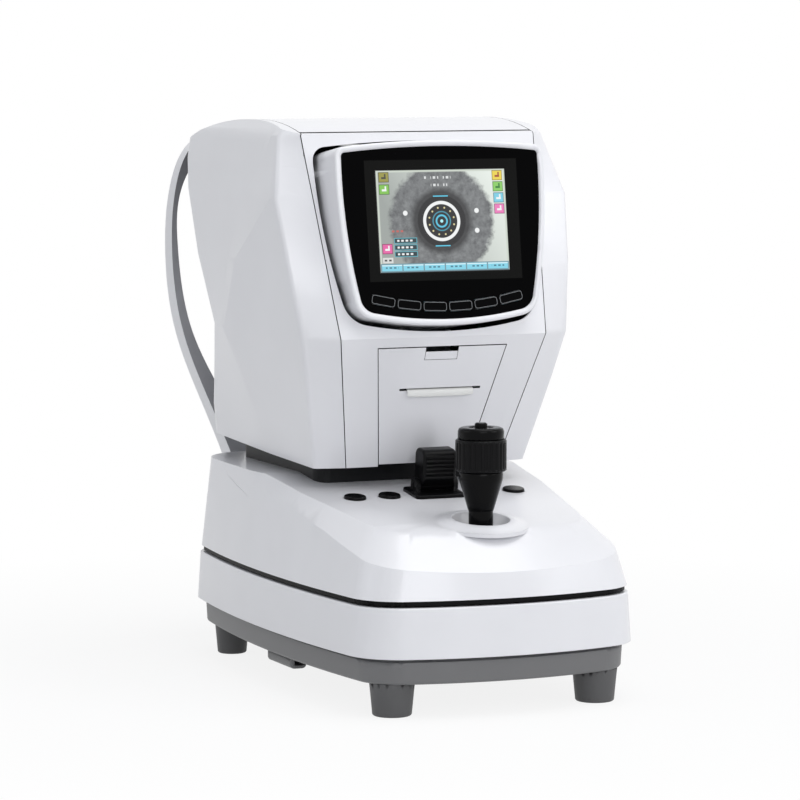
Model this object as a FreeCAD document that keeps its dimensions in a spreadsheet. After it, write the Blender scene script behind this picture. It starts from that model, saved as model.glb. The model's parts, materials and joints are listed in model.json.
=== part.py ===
"""Table-top autorefractor: base, gliding stage, lifting head, tilting display, printer and face rest.

Frame: millimetres, +Z up, floor at z = 0, X to the operator's right, +Y towards the patient.
The origin is under the middle of the whole instrument. Each sub-part is drawn about the middle of the
base and then placed base_centre_y along Y, so that the face rest behind the base balances the plan.
"""
import FreeCAD, Part
import Sketcher
import math
import os
import re
import sys

V = FreeCAD.Vector
X_AXIS, Y_AXIS, Z_AXIS = V(1, 0, 0), V(0, 1, 0), V(0, 0, 1)

# ---------------------------------------------------------------- driving sizes

SIZES = {
    # base band, in plan
    "base_half_width": 131.0, "base_half_depth": 215.8, "front_bow": 27.1, "side_bow": 17.6,
    "rear_bow": 10.0, "base_corner": 46.3,
    # base band and tray, in height
    "foot_height": 26.6, "band_low": 47.7, "band_high": 87.4, "band_draft": 2.5, "casing_wall": 3.0,
    "tray_inset": 7.0, "tray_step": 3.5, "tray_floor": 3.6,
    "foot_top_radius": 18.0, "foot_base_radius": 15.6, "foot_spread": 87.5, "foot_front": 173.7,
    "rear_foot_top_radius": 14.6, "rear_foot_base_radius": 12.4, "rear_foot_spread": 92.0,
    "foot_rear": 167.0, "foot_edge": 2.0,
    "fit_gap": 0.3, "running_gap": 0.05, "seam_gap": 0.7,
    # base chassis and slides
    "chassis_length": 330.0, "chassis_width": 190.0, "chassis_plate": 3.0,
    "shaft_radius": 7.0, "depth_shaft_length": 300.0, "depth_shaft_spread": 70.0, "depth_shaft_height": 50.0,
    "shaft_block_length": 16.0, "shaft_block_width": 30.0, "bearing_wall": 5.0,
    "cross_shaft_spread": 50.0, "cross_shaft_height": 73.5,
    "carriage_length": 132.0, "carriage_inset": 36.0, "carriage_plate": 4.0, "carriage_bearing": 34.0,
    "depth_travel": 20.0, "cross_travel": 40.0, "stage_bearing": 28.0, "stage_bearing_offset": 17.0,
    # mains parts
    "supply_width": 96.0, "supply_length": 72.0, "supply_height": 36.0, "supply_inset": 101.8,
    "inlet_width": 27.0, "inlet_height": 20.0, "inlet_depth": 22.0, "inlet_flange": 2.5,
    "seat_depth": 3.4, "inlet_y": 34.0, "switch_y": 76.0, "switch_width": 21.0, "switch_height": 15.0, "switch_depth": 12.0,
    "port_box_length": 57.0, "port_box_width": 14.0, "port_box_depth": 10.4, "port_box_inset": 22.5,
    "port_box_y": -3.4,
    # stage plate and cover
    "stage_clearance": 1.2, "cover_low": 92.4, "cover_inset": 3.5, "plate_inset": 5.2,
    "cover_top_half_width": 114.0, "cover_side_radius": 1390.0, "cover_side_centre": 60.0,
    "cover_top_height": 170.0, "cover_top_front": 192.0, "cover_top_rear": 205.0, "cover_top_corner": 44.0,
    "deck_front_height": 145.1, "deck_front_y": -139.6, "deck_slope": 7.6, "deck_level_y": 35.0,
    "apron_side_reach": 302.1, "apron_side_lean": 1.162, "apron_side_flare": 0.308, "apron_front_low": 231.7,
    "apron_front_high": 110.2, "apron_bow_low": 12.0, "apron_bow_high": 58.0, "apron_high_z": 190.0,
    "apron_corner_low": 52.0, "apron_corner_high": 26.0,
    # collar and lift
    "collar_half_width": 81.4, "collar_front": -4.3, "collar_rear": 170.0, "collar_top": 205.0,
    "collar_corner": 12.0, "collar_wall": 2.6, "collar_seat": 6.0, "collar_gap": 1.2,
    "rod_radius": 8.0, "rod_spread": 30.0, "lift_y": 85.0, "rod_top": 290.0, "lift_screw_radius": 5.0,
    "lift_down": 9.0, "lift_up": 21.0, "sleeve_wall": 5.0, "sleeve_length": 58.0, "journal_radius": 4.0,
    # joystick
    "stick_y": -147.0, "gimbal_height": 115.0, "well_radius": 22.6, "well_throat": 18.0,
    "well_depth": 8.0, "well_rise": 3.2, "well_skirt": 39.0,
    "seat_radius": 31.0, "seat_wall": 4.0, "seat_top": 125.0, "gimbal_outer": 25.5, "gimbal_inner": 18.5,
    "gimbal_thick": 9.0, "gimbal_pin": 2.5, "stick_radius": 7.0, "ball_radius": 15.0,
    "neck_radius": 9.7, "neck_low": 131.0, "cone_low": 154.8, "cone_low_radius": 10.5, "cone_high": 179.0,
    "cone_high_radius": 17.6, "ring_low": 185.0, "ring_high": 210.0, "ring_radius": 20.3, "ring_wall": 4.2,
    "ring_flutes": 28.0, "flute_radius": 1.6, "cap_high": 219.5, "cap_radius": 18.4, "cap_edge": 3.0,
    "cap_step_radius": 10.0, "cap_step": 0.8, "trigger_radius": 5.0, "trigger_rise": 3.6, "trigger_travel": 1.5,
    # stage buttons and lock lever
    "button_radius": 9.0, "button_rise": 2.2, "button_height": 9.0, "button_travel": 1.8,
    "button_outer_x": 70.0, "button_inner_x": 40.0, "button_y": -56.0, "button_gap": 0.35,
    "flange_width": 43.0, "flange_length": 33.0, "flange_thick": 3.0, "lever_y": -54.0,
    "lever_width": 29.0, "lever_depth": 20.0, "lever_height": 30.0, "lever_pivot": 8.0, "lever_foot": 4.4,
    "lever_ribs": 6.0, "rib_pitch": 3.4, "rib_depth": 1.5, "lever_pin": 2.5, "ear_thick": 3.6,
    # head casing
    "head_floor_front": 177.7, "head_floor_rise": 0.037, "corner_round": 3.0, "rear_round": 17.0,
    "head_top_half": 101.4, "top_seam_rise": 1.8, "rear_seam_height": 430.0, "rear_seam_inset": 21.0,
    "front_cover_rear": 30.0,
    # roof line, height over depth
    "roof_front_y": -26.0, "roof_front_z": 446.6, "roof_rise_y": 24.0, "roof_rise_z": 455.6,
    "roof_top_y": 82.0, "roof_top_z": 457.4, "roof_fall_y": 165.0, "roof_fall_z": 449.5,
    "roof_rear_y": 226.0, "roof_rear_z": 430.0,
    # display
    "screen_y": -72.1, "screen_z": 379.1, "screen_tilt": 8.1,
    "panel_top_half": 85.8, "panel_mid_half": 84.6, "panel_low_half": 77.6, "panel_top": 55.2,
    "panel_top_bow": 4.6, "panel_low": -52.0, "panel_bottom": -79.3, "panel_bottom_half": 58.0,
    "panel_bottom_side": -74.2, "panel_thick": 2.5, "panel_chin_corner": 14.0, "panel_corner": 3.2,
    "rim_width": 5.0, "rim_proud": 1.4, "rim_edge": 2.0, "display_depth": 50.0, "display_gap": 4.0,
    "lcd_half_width": 56.6, "lcd_half_height": 41.1, "lcd_frame": 8.5, "lcd_thick": 7.0, "lcd_recess": 0.5,
    "pivot_y": -24.0, "pivot_z": 415.0, "pivot_radius": 3.0, "pivot_boss": 7.0,
    "key_width": 20.6, "key_height": 7.6, "key_pitch": 22.3, "key_line": -69.2, "key_rise": 0.00187,
    "key_thick": 1.6, "key_proud": 0.35, "key_gap": 0.3, "key_travel": 0.6, "key_corner": 1.8,
    # printer
    "door_top_half": 56.0, "door_low_half": 38.6, "door_top": 277.2, "door_low": 179.6, "door_gap": 0.8,
    "hinge_y": -25.5, "hinge_z": 187.0, "hinge_pin": 2.0, "hinge_lug": 4.2,
    "latch_half": 14.0, "latch_low": 267.0, "latch_high": 273.6, "latch_thick": 2.4,
    "slot_centre_x": 4.0, "slot_half": 35.5, "slot_z": 241.4, "slot_height": 1.8,
    "cheek_x": 33.0, "cheek_thick": 3.0, "roll_radius": 18.0, "roll_half": 29.0, "roll_y": -22.0,
    "roll_z": 248.0, "roll_spindle": 3.0, "platen_radius": 4.5, "platen_y": -46.2, "platen_z": 239.0,
    "platen_spindle": 2.0,
    # inside the head
    "chassis_low": 219.0, "head_plate": 4.0, "axis_z": 375.0, "tube_radius": 29.0, "tube_wall": 5.0,
    "tube_front": 100.0, "tube_rear": 212.0, "window_thick": 3.0, "window_recess": 6.0,
    "bench_low": 304.0, "bench_plate": 4.0, "bench_half": 48.0, "bench_leg": 5.0, "bench_front": 22.0,
    "bench_rear": 142.0, "camera_half": 28.0, "camera_front": 30.0, "camera_top": 404.0,
    "rail_width": 8.0, "rail_height": 6.0, "focus_width": 24.0, "focus_length": 22.0, "focus_height": 16.0,
    "focus_travel": 22.0, "board_x": 68.0, "board_front": 12.0, "board_length": 104.0, "board_height": 78.0,
    "board_thick": 1.8,
    # face rest
    "rest_offset": 4.5, "rest_low_depth": 26.0, "rest_high_depth": 13.0,
    "column_half": 46.0, "column_offset": 19.7, "column_depth": 30.5, "column_top": 150.0,
    "column_corner": 8.0, "arch_top": 447.5, "arch_half": 118.5,
    "arch_wide_z": 345.0, "arch_foot_half": 57.0, "arch_foot_z": 142.0, "arch_crown_half": 96.0,
    "arch_crown_z": 434.0, "arch_side_width": 5.4, "arch_foot_width": 20.0, "arch_bar": 13.0,
    "pad_half": 46.0, "pad_low": 417.0, "pad_high": 441.0, "pad_depth": 12.6,
    "post_radius": 9.0, "post_offset": 16.5, "post_low": 96.0, "post_top": 243.0, "post_bore": 4.0,
    "chin_screw_low": 58.0, "chin_screw_top": 190.0, "chin_down": 28.0,
    "chin_up": 32.0, "cup_half": 32.0, "cup_behind": 38.0, "cup_before": 14.0, "cup_top": 262.0,
    "cup_floor": 6.0, "cup_dip": 11.0,
}

# Sizes that follow from others: places behind the base, parts fitted inside it, the seam under the roof.
RULES = {
    "carriage_width": "2 * (base_half_width - carriage_inset)",
    "cross_shaft_length": "carriage_width - 4",
    "supply_front": "base_half_depth - supply_inset",
    "port_box_x": "base_half_width - port_box_inset",
    "top_seam_height": "roof_front_z + top_seam_rise",
    "column_front": "base_half_depth + column_offset",
    "column_rear": "column_front + column_depth",
    "rest_front": "column_front + rest_offset",
    "post_y": "column_front + post_offset",
    "cup_front": "post_y - cup_before",
    "cup_rear": "post_y + cup_behind",
}

# Head casing in level sections. Each row: height, then x and y of the front seam, the front corner, the
# low and high edges of the side blade, and the rear corner.
LEVELS = {
    "hem": (168.0, (65.1, -25.6), (91.0, -22.2), (92.2, 60.0), (92.2, 67.0), (91.0, 214.0)),
    "hip": (213.0, (74.5, -44.6), (101.0, -36.8), (104.0, 72.0), (104.0, 79.0), (99.5, 202.0)),
    "chin": (250.0, (82.3, -60.1), (109.1, -48.6), (114.0, 85.0), (113.9, 92.0), (108.0, 176.0)),
    "crease": (285.8, (89.8, -75.2), (116.6, -58.4), (124.0, 98.0), (123.7, 105.0), (117.5, 147.0)),
    "cheek": (343.0, (94.4, -56.1), (123.9, -46.8), (129.3, 59.0), (126.6, 82.0), (121.5, 179.0)),
    "shoulder": (397.0, (98.7, -38.1), (128.4, -30.7), (129.0, -21.0), (125.6, 49.0), (120.0, 207.0)),
    "temple": (422.0, (100.8, -29.7), (122.4, -18.6), (122.8, -11.0), (121.9, 18.0), (118.4, 213.0)),
    "brow": (446.4, (102.7, -21.6), (116.5, -7.2), (116.9, 0.4), (117.0, 7.4), (113.0, 219.0)),
    "crown": (462.0, (95.0, -16.4), (104.0, -2.0), (104.4, 5.6), (104.6, 12.6), (101.0, 214.0)),
}
POINT_NAMES = ("seam", "corner", "blade_low", "blade_high", "rear")

# Side chamfer of the stage cover, which steepens and fades out towards the rear. Each row: depth, then x and
# height of the ridge on the deck and of the crease on the wall.
CHAMFER = {
    "fore": (-107.9, (96.3, 149.4), (114.8, 133.5)),
    "near": (-70.2, (100.8, 154.4), (114.6, 140.9)),
    "half": (-29.9, (106.9, 159.7), (115.8, 147.6)),
    "back": (61.1, (114.4, 168.4), (115.6, 159.8)),
    "tail": (154.1, (111.1, 170.8), (111.4, 169.2)),
}

for level, (height, *points) in LEVELS.items():
    SIZES[level + "_height"] = height
    for point_name, (across, along) in zip(POINT_NAMES, points):
        SIZES["%s_%s_x" % (level, point_name)] = across
        SIZES["%s_%s_y" % (level, point_name)] = along
for station, (along, *points) in CHAMFER.items():
    SIZES[station + "_chamfer_y"] = along
    for point_name, (across, height) in zip(("ridge", "crease"), points):
        SIZES["%s_%s_x" % (station, point_name)] = across
        SIZES["%s_%s_height" % (station, point_name)] = height

doc = FreeCAD.newDocument("Autorefractor")
sheet = doc.addObject("Spreadsheet::Sheet", "Sizes")
ENTRIES = {word: str(amount) for word, amount in SIZES.items()}
ENTRIES.update({word: "=" + rule for word, rule in RULES.items()})
for row, (word, entry) in enumerate(ENTRIES.items(), 1):
    sheet.set("A%d" % row, word)
    sheet.setAlias("B%d" % row, word)
    sheet.set("B%d" % row, entry)
doc.recompute()

WORD = re.compile(r"[a-z][a-z0-9_]*[a-z0-9]")


def sheet_path(text):
    """Turns bare size words into paths of the sheet's cells."""
    return WORD.sub(lambda found: "Sizes." + found.group() if found.group() in ENTRIES else found.group(), text)


def size(text):
    """The number that an expression of size words has now."""
    return float(sheet.evalExpression(sheet_path(text)))


# The front of the base and the rear of the chin cup lie equally far from the origin.
BASE_CENTRE_Y = "(base_half_depth - cup_rear) / 2"

NODES = []


# ---------------------------------------------------------------- document helpers

def keep(item, name):
    """Names a finished sub-part and lists it for export."""
    item.Label = name
    NODES.append(item)
    return item


def set_place(item, x="0", y="0", z="0"):
    """Binds an object's position, given about the middle of the base."""
    item.setExpression("Placement.Base.x", sheet_path(x))
    item.setExpression("Placement.Base.y", sheet_path("%s + (%s)" % (BASE_CENTRE_Y, y)))
    item.setExpression("Placement.Base.z", sheet_path(z))


def feature(name, shape):
    """A sub-part whose shape comes from Part functions, drawn about the middle of the base."""
    item = doc.addObject("Part::Feature", name)
    item.Shape = shape
    item.Placement = FreeCAD.Placement(V(0, size(BASE_CENTRE_Y), 0), FreeCAD.Rotation()) * shape.Placement
    return keep(item, name)


def sketch_on(body, role, outlines=(), circles=()):
    """A sketch on one of the body's own planes; every point and radius is bound to the sheet."""
    plane = [entry for entry in body.Origin.OriginFeatures if entry.Role == role][0]
    sketch = body.newObject("Sketcher::SketchObject", body.Name + "_sketch")
    sketch.AttachmentSupport = [(plane, "")]
    sketch.MapMode = "FlatFace"

    def bind_point(geometry, position, across, up, tag):
        for kind, axis, text in (("DistanceX", -2, across), ("DistanceY", -1, up)):
            if text == "0":
                sketch.addConstraint(Sketcher.Constraint("PointOnObject", geometry, position, axis))
                continue
            rule = Sketcher.Constraint(kind, -1, 1, geometry, position, size(text))
            index = sketch.addConstraint(rule)
            label = tag + kind[-1]
            sketch.renameConstraint(index, label)
            sketch.setExpression("Constraints." + label, sheet_path(text))

    for outline in outlines:
        places = [V(size(across), size(up), 0) for across, up in outline]
        count = len(places)
        first = sketch.GeometryCount
        for index, start in enumerate(places):
            sketch.addGeometry(Part.LineSegment(start, places[(index + 1) % count]), False)
        for index in range(count):
            follower = first + (index + 1) % count
            sketch.addConstraint(Sketcher.Constraint("Coincident", first + index, 2, follower, 1))
        for index, (across, up) in enumerate(outline):
            bind_point(first + index, 1, across, up, "p%d" % (first + index))
    for across, up, radius in circles:
        ring = sketch.addGeometry(Part.Circle(V(size(across), size(up), 0), Z_AXIS, size(radius)), False)
        index = sketch.addConstraint(Sketcher.Constraint("Radius", ring, size(radius)))
        sketch.renameConstraint(index, "r%d" % ring)
        sketch.setExpression("Constraints.r%d" % ring, sheet_path(radius))
        bind_point(ring, 3, across, up, "c%d" % ring)
    return sketch


def turned(name, outline, place=("0", "0", "0")):
    """A body turned about its own Z axis from an outline of (radius, height)."""
    body = doc.addObject("PartDesign::Body", name)
    sketch = sketch_on(body, "XZ_Plane", [outline])
    turn = body.newObject("PartDesign::Revolution", name + "_turn")
    turn.Profile = sketch
    turn.ReferenceAxis = (sketch, ["V_Axis"])
    turn.Angle = 360
    set_place(body, *place)
    return keep(body, name)


def plate(name, outline, thick, place=("0", "0", "0"), holes=()):
    """A flat plate padded upwards from an outline in plan, with round holes."""
    body = doc.addObject("PartDesign::Body", name)
    pad = body.newObject("PartDesign::Pad", name + "_pad")
    pad.Profile = sketch_on(body, "XY_Plane", [outline], holes)
    pad.setExpression("Length", sheet_path(thick))
    set_place(body, *place)
    return body


def block(name, lengths, corner):
    """A Part::Box from three size expressions and its lowest corner."""
    item = doc.addObject("Part::Box", name)
    for edge, text in zip(("Length", "Width", "Height"), lengths):
        item.setExpression(edge, sheet_path(text))
    for axis, text in zip("xyz", corner):
        item.setExpression("Placement.Base." + axis, sheet_path(text))
    return item


def rod(name, radius, length, start, along=Z_AXIS):
    """A Part::Cylinder from its start point along one axis."""
    item = doc.addObject("Part::Cylinder", name)
    item.setExpression("Radius", sheet_path(radius))
    item.setExpression("Height", sheet_path(length))
    item.Placement.Rotation = FreeCAD.Rotation(Z_AXIS, along)
    for axis, text in zip("xyz", start):
        item.setExpression("Placement.Base." + axis, sheet_path(text))
    return item


def joined(name, pieces):
    """Several primitives as one sub-part; pieces that don't touch stay separate solids."""
    item = doc.addObject("Part::MultiFuse", name)
    item.Shapes = pieces
    item.Refine = True
    return item


def minus(name, base, tools):
    """A primitive or join with tools cut out of it."""
    item = doc.addObject("Part::Cut", name)
    item.Base = base
    item.Tool = tools[0] if len(tools) == 1 else joined(name + "_tools", tools)
    item.Refine = True
    return item


# ---------------------------------------------------------------- shape helpers

def disc_radius(half_chord, bow):
    """Radius of the arc that bows out by `bow` over a half chord."""
    return (half_chord ** 2 + bow ** 2) / (2 * bow)


class Plan:
    """A four-sided plan whose sides are big arcs and whose corners are rounded."""

    def __init__(self, side, front, rear, front_corner, rear_corner=None):
        # side, front and rear are (centre x, centre y, radius) of the right, front and rear arcs
        self.side, self.front, self.rear = side, front, rear
        self.front_corner, self.rear_corner = front_corner, rear_corner or front_corner

    def corner_centre(self, end, corner):
        """Centre of the corner arc between the right side and the front or rear arc."""
        (x1, y1, r1), (x2, y2, r2) = self.side, end
        r1, r2 = r1 - corner, r2 - corner
        dx, dy = x2 - x1, y2 - y1
        apart = math.hypot(dx, dy)
        along = (r1 ** 2 - r2 ** 2 + apart ** 2) / (2 * apart)
        off = math.sqrt(r1 ** 2 - along ** 2)
        mid_x, mid_y = x1 + along * dx / apart, y1 + along * dy / apart
        options = [(mid_x + s * off * dy / apart, mid_y - s * off * dx / apart) for s in (1, -1)]
        return max(options)

    def wire(self, height, inset=0.0):
        """The closed outline at a height, moved inwards by `inset`."""
        def on_arc(arc, towards):
            cx, cy, radius = arc
            run = math.hypot(towards[0] - cx, towards[1] - cy)
            reach = (radius - inset) / run
            return V(cx + (towards[0] - cx) * reach, cy + (towards[1] - cy) * reach, height)

        def mirrored(point):
            return V(-point.x, point.y, point.z)

        front_c = self.corner_centre(self.front, self.front_corner)
        rear_c = self.corner_centre(self.rear, self.rear_corner)
        side_front, front_end = on_arc(self.side, front_c), on_arc(self.front, front_c)
        side_rear, rear_end = on_arc(self.side, rear_c), on_arc(self.rear, rear_c)

        def corner_mid(centre, corner, start, end):
            way = (start + end) * 0.5 - V(centre[0], centre[1], height)
            return V(centre[0], centre[1], height) + way.normalize() * (corner - inset)

        side_mid = V(self.side[0] + self.side[2] - inset, self.side[1], height)
        front_mid = V(0, self.front[1] - self.front[2] + inset, height)
        rear_mid = V(0, self.rear[1] + self.rear[2] - inset, height)
        front_corner = corner_mid(front_c, self.front_corner, front_end, side_front)
        rear_corner = corner_mid(rear_c, self.rear_corner, rear_end, side_rear)
        runs = [
            (mirrored(front_end), front_mid, front_end), (front_end, front_corner, side_front),
            (side_front, side_mid, side_rear), (side_rear, rear_corner, rear_end),
            (rear_end, rear_mid, mirrored(rear_end)),
            (mirrored(rear_end), mirrored(rear_corner), mirrored(side_rear)),
            (mirrored(side_rear), mirrored(side_mid), mirrored(side_front)),
            (mirrored(side_front), mirrored(front_corner), mirrored(front_end)),
        ]
        return Part.Wire([Part.Arc(*run).toShape() for run in runs])


def lofted(*wires):
    """A solid ruled through closed wires that have as many edges each."""
    return Part.makeLoft(list(wires), True, True)


def prism(points, along):
    """A solid swept straight from a closed polygon."""
    return Part.Face(Part.makePolygon(points + [points[0]])).extrude(along)


def box(x0, x1, y0, y1, z0, z1):
    return Part.makeBox(x1 - x0, y1 - y0, z1 - z0, V(x0, y0, z0))


def cylinder(radius, start, along, length):
    return Part.makeCylinder(radius, length, start, along)


def rounded_box(x0, x1, y0, y1, z0, z1, radius):
    """An upright box with its four standing edges rounded."""
    solid = box(x0, x1, y0, y1, z0, z1)
    standing = [edge for edge in solid.Edges if abs(edge.tangentAt(edge.FirstParameter).z) > 0.99]
    return solid.makeFillet(radius, standing)


def edges_where(shape, test):
    """The edges of a shape whose middle point passes a test."""
    chosen = []
    for edge in shape.Edges:
        middle = edge.valueAt((edge.FirstParameter + edge.LastParameter) / 2)
        if test(middle, edge):
            chosen.append(edge)
    return chosen


# ---------------------------------------------------------------- base

base_half_width, base_half_depth = size("base_half_width"), size("base_half_depth")
side_radius = disc_radius(base_half_depth, size("side_bow"))
front_radius = disc_radius(base_half_width, size("front_bow"))
rear_radius = disc_radius(base_half_width, size("rear_bow"))
base_plan = Plan((base_half_width - side_radius, 0, side_radius),
                 (0, front_radius - base_half_depth, front_radius),
                 (0, base_half_depth - rear_radius, rear_radius), size("base_corner"))
wall, fit_gap, seam_gap = size("casing_wall"), size("fit_gap"), size("seam_gap")
band_low, band_high, band_draft = size("band_low"), size("band_high"), size("band_draft")
foot_height, tray_inset = size("foot_height"), size("tray_inset")
far = 4 * base_half_depth


def base_tray():
    """Open tray of grey plastic under the band, with a stepped lip that the band stands on."""
    step = size("tray_step")
    lip = band_low - step
    body = lofted(base_plan.wire(foot_height, tray_inset + 1), base_plan.wire(lip, tray_inset))
    rim = Part.Face(base_plan.wire(lip, tray_inset + step)).extrude(V(0, 0, step))
    hollow_inset = tray_inset + step + wall
    hollow = Part.Face(base_plan.wire(foot_height + size("tray_floor"), hollow_inset)).extrude(V(0, 0, far))
    soft = edges_where(body, lambda middle, edge: abs(middle.z - foot_height) < 0.01)
    feature("base_tray", body.makeFillet(3.0, soft).fuse(rim).cut(hollow).removeSplitter())


def side_box(x0, x1, y0, y1, half_height):
    """A box on the band's right side, centred on the band's height."""
    middle_z = (band_low + band_high) / 2
    return box(x0, x1, y0, y1, middle_z - half_height, middle_z + half_height)


def base_cover():
    """White band with a top plate; the stage's bearings reach down through its opening."""
    outer = lofted(base_plan.wire(band_low), base_plan.wire(band_high, band_draft))
    soft = edges_where(outer, lambda middle, edge: abs(middle.z - band_high) < 0.01)
    outer = outer.makeFillet(1.6, soft)
    ledge = band_low + wall
    inner = lofted(base_plan.wire(ledge, wall), base_plan.wire(band_high - wall, wall + band_draft))
    # the ledge inside the lower edge rests on the tray's rim
    mouth = Part.Face(base_plan.wire(band_low - 1, tray_inset + size("tray_step") + wall / 2)).extrude(
        V(0, 0, wall + 2))
    half_x = size("stage_bearing_offset + stage_bearing / 2 + cross_travel") + 2.5
    half_y = size("cross_shaft_spread + shaft_radius + bearing_wall + depth_travel") + 2.5
    opening = rounded_box(-half_x, half_x, -half_y, half_y, band_low, band_high + 1, 9.0)
    cover = outer.cut(inner).cut(mouth).cut(opening)
    # a flat seat in the right side for the mains inlet and its switch
    seat_x = size("base_half_width - seat_depth")
    front, rear = size("inlet_y - inlet_width / 2 - 4.5"), size("switch_y + switch_width / 2 + 3")
    half_z = size("inlet_height / 2 + 4")
    cover = cover.fuse(side_box(seat_x - 4, seat_x + 0.2, front - 2, rear + 2, half_z + 1.5))
    cover = cover.cut(side_box(seat_x, seat_x + 20, front, rear, half_z))
    for y, width, height in (("inlet_y", "inlet_width", "inlet_height"),
                             ("switch_y", "switch_width", "switch_height")):
        half = size(width) / 2 + fit_gap
        cover = cover.cut(side_box(seat_x - 20, seat_x + 20, size(y) - half, size(y) + half,
                                   size(height) / 2 + fit_gap))
    feature("base_cover", cover)


def foot_solid(top, low):
    """A foot that tapers to a rounded lower edge."""
    edge = size("foot_edge")
    outline = Part.Wire([
        Part.LineSegment(V(0, 0, 0), V(low - edge, 0, 0)).toShape(),
        Part.Arc(V(low - edge, 0, 0), V(low - 0.3 * edge, 0, 0.3 * edge), V(low, 0, edge)).toShape(),
        Part.LineSegment(V(low, 0, edge), V(top, 0, foot_height)).toShape(),
        Part.LineSegment(V(top, 0, foot_height), V(0, 0, foot_height)).toShape(),
        Part.LineSegment(V(0, 0, foot_height), V(0, 0, 0)).toShape()])
    return Part.Face(outline).revolve(V(0, 0, 0), Z_AXIS, 360)


def feet():
    """Four tapered feet; the front pair, under the operator's hand, is the larger."""
    group = []
    for prefix, spread, y in (("", size("foot_spread"), -size("foot_front")),
                              ("rear_", size("rear_foot_spread"), size("foot_rear"))):
        foot = foot_solid(size(prefix + "foot_top_radius"), size(prefix + "foot_base_radius"))
        group += [foot.translated(V(x, y, 0)) for x in (-spread, spread)]
    feature("feet", Part.Compound(group))


def base_chassis():
    """Steel plate on the tray floor that carries the depth shafts and the power supply."""
    half_x, half_y = "chassis_width / 2", "chassis_length / 2"
    outline = [("-" + half_x, "-" + half_y), (half_x, "-" + half_y), (half_x, half_y), ("-" + half_x, half_y)]
    holes = [("%schassis_width / 3" % sx, "%schassis_length / 2.3" % sy, "gimbal_pin")
             for sx in ("-", "") for sy in ("-", "")]
    keep(plate("base_chassis", outline, "chassis_plate", ("0", "0", "foot_height + tray_floor"), holes),
         "base_chassis")


CHASSIS_TOP = "foot_height + tray_floor + chassis_plate"
BLOCK_Y = "depth_shaft_length / 2 - shaft_block_length / 2"


def depth_shafts():
    """Two ground shafts that the carriage glides along in depth."""
    shafts = [rod("depth_shaft_%d" % n, "shaft_radius", "depth_shaft_length",
                  ("%d * depth_shaft_spread" % side, "-depth_shaft_length / 2", "depth_shaft_height"), Y_AXIS)
              for n, side in enumerate((-1, 1))]
    item = joined("depth_shafts", shafts)
    set_place(item)
    keep(item, "depth_shafts")


def shaft_blocks():
    """Four blocks that hold the ends of the depth shafts."""
    blocks, bores = [], []
    for side in (-1, 1):
        bores.append(rod("block_bore_%d" % (side + 1), "shaft_radius + running_gap / 2",
                         "depth_shaft_length + 20",
                         ("%d * depth_shaft_spread" % side, "-depth_shaft_length / 2 - 10",
                          "depth_shaft_height"), Y_AXIS))
        for end in (-1, 1):
            blocks.append(block("shaft_block_%d%d" % (side + 1, end + 1),
                                ("shaft_block_width", "shaft_block_length",
                                 "depth_shaft_height + shaft_radius + bearing_wall - (%s)" % CHASSIS_TOP),
                                ("%d * depth_shaft_spread - shaft_block_width / 2" % side,
                                 "%d * (%s) - shaft_block_length / 2" % (end, BLOCK_Y), CHASSIS_TOP)))
    item = minus("shaft_blocks", joined("shaft_block_group", blocks), bores)
    set_place(item)
    keep(item, "shaft_blocks")


def power_supply():
    """Boxed power supply on the chassis, with its transformer and two capacitors."""
    case = block("supply_case", ("supply_width", "supply_length", "supply_height / 2"),
                 ("-supply_width / 2", "supply_front", CHASSIS_TOP))
    core = block("supply_core", ("supply_width / 3", "supply_length / 2", "supply_height / 2"),
                 ("-supply_width / 2.4", "supply_front + supply_length / 4",
                  CHASSIS_TOP + " + supply_height / 2"))
    cans = [rod("supply_can_%d" % n, "supply_length / 9", "supply_height / 2",
                ("supply_width / 5", "supply_front + supply_length * %s" % share,
                 CHASSIS_TOP + " + supply_height / 2")) for n, share in enumerate(("0.28", "0.72"))]
    item = joined("power_supply", [case, core] + cans)
    set_place(item)
    keep(item, "power_supply")


BAND_MIDDLE = "(band_low + band_high) / 2"


def power_inlet():
    """Mains inlet: a flanged shell with an open socket and three blades."""
    seat = "base_half_width - seat_depth"
    body = block("inlet_body", ("inlet_depth + 1", "inlet_width", "inlet_height"),
                 (seat + " - inlet_depth", "inlet_y - inlet_width / 2", BAND_MIDDLE + " - inlet_height / 2"))
    lip = block("inlet_lip", ("inlet_flange", "inlet_width + 6", "inlet_height + 6"),
                (seat, "inlet_y - inlet_width / 2 - 3", BAND_MIDDLE + " - inlet_height / 2 - 3"))
    socket = block("inlet_socket", ("inlet_depth + 4", "inlet_width - 5", "inlet_height - 5"),
                   (seat + " - inlet_depth + 3", "inlet_y - inlet_width / 2 + 2.5",
                    BAND_MIDDLE + " - inlet_height / 2 + 2.5"))
    blades = [block("inlet_blade_%d" % n, ("inlet_depth - 4", "1.6", "4"),
                    (seat + " - inlet_depth + 2", "inlet_y + (%s) - 0.8" % dy, BAND_MIDDLE + " + (%s)" % dz))
              for n, (dy, dz) in enumerate((("-7", "-5"), ("7", "-5"), ("0", "1")))]
    item = joined("power_inlet", [minus("inlet_shell", joined("inlet_solid", [body, lip]), [socket])] + blades)
    set_place(item)
    keep(item, "power_inlet")


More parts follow.
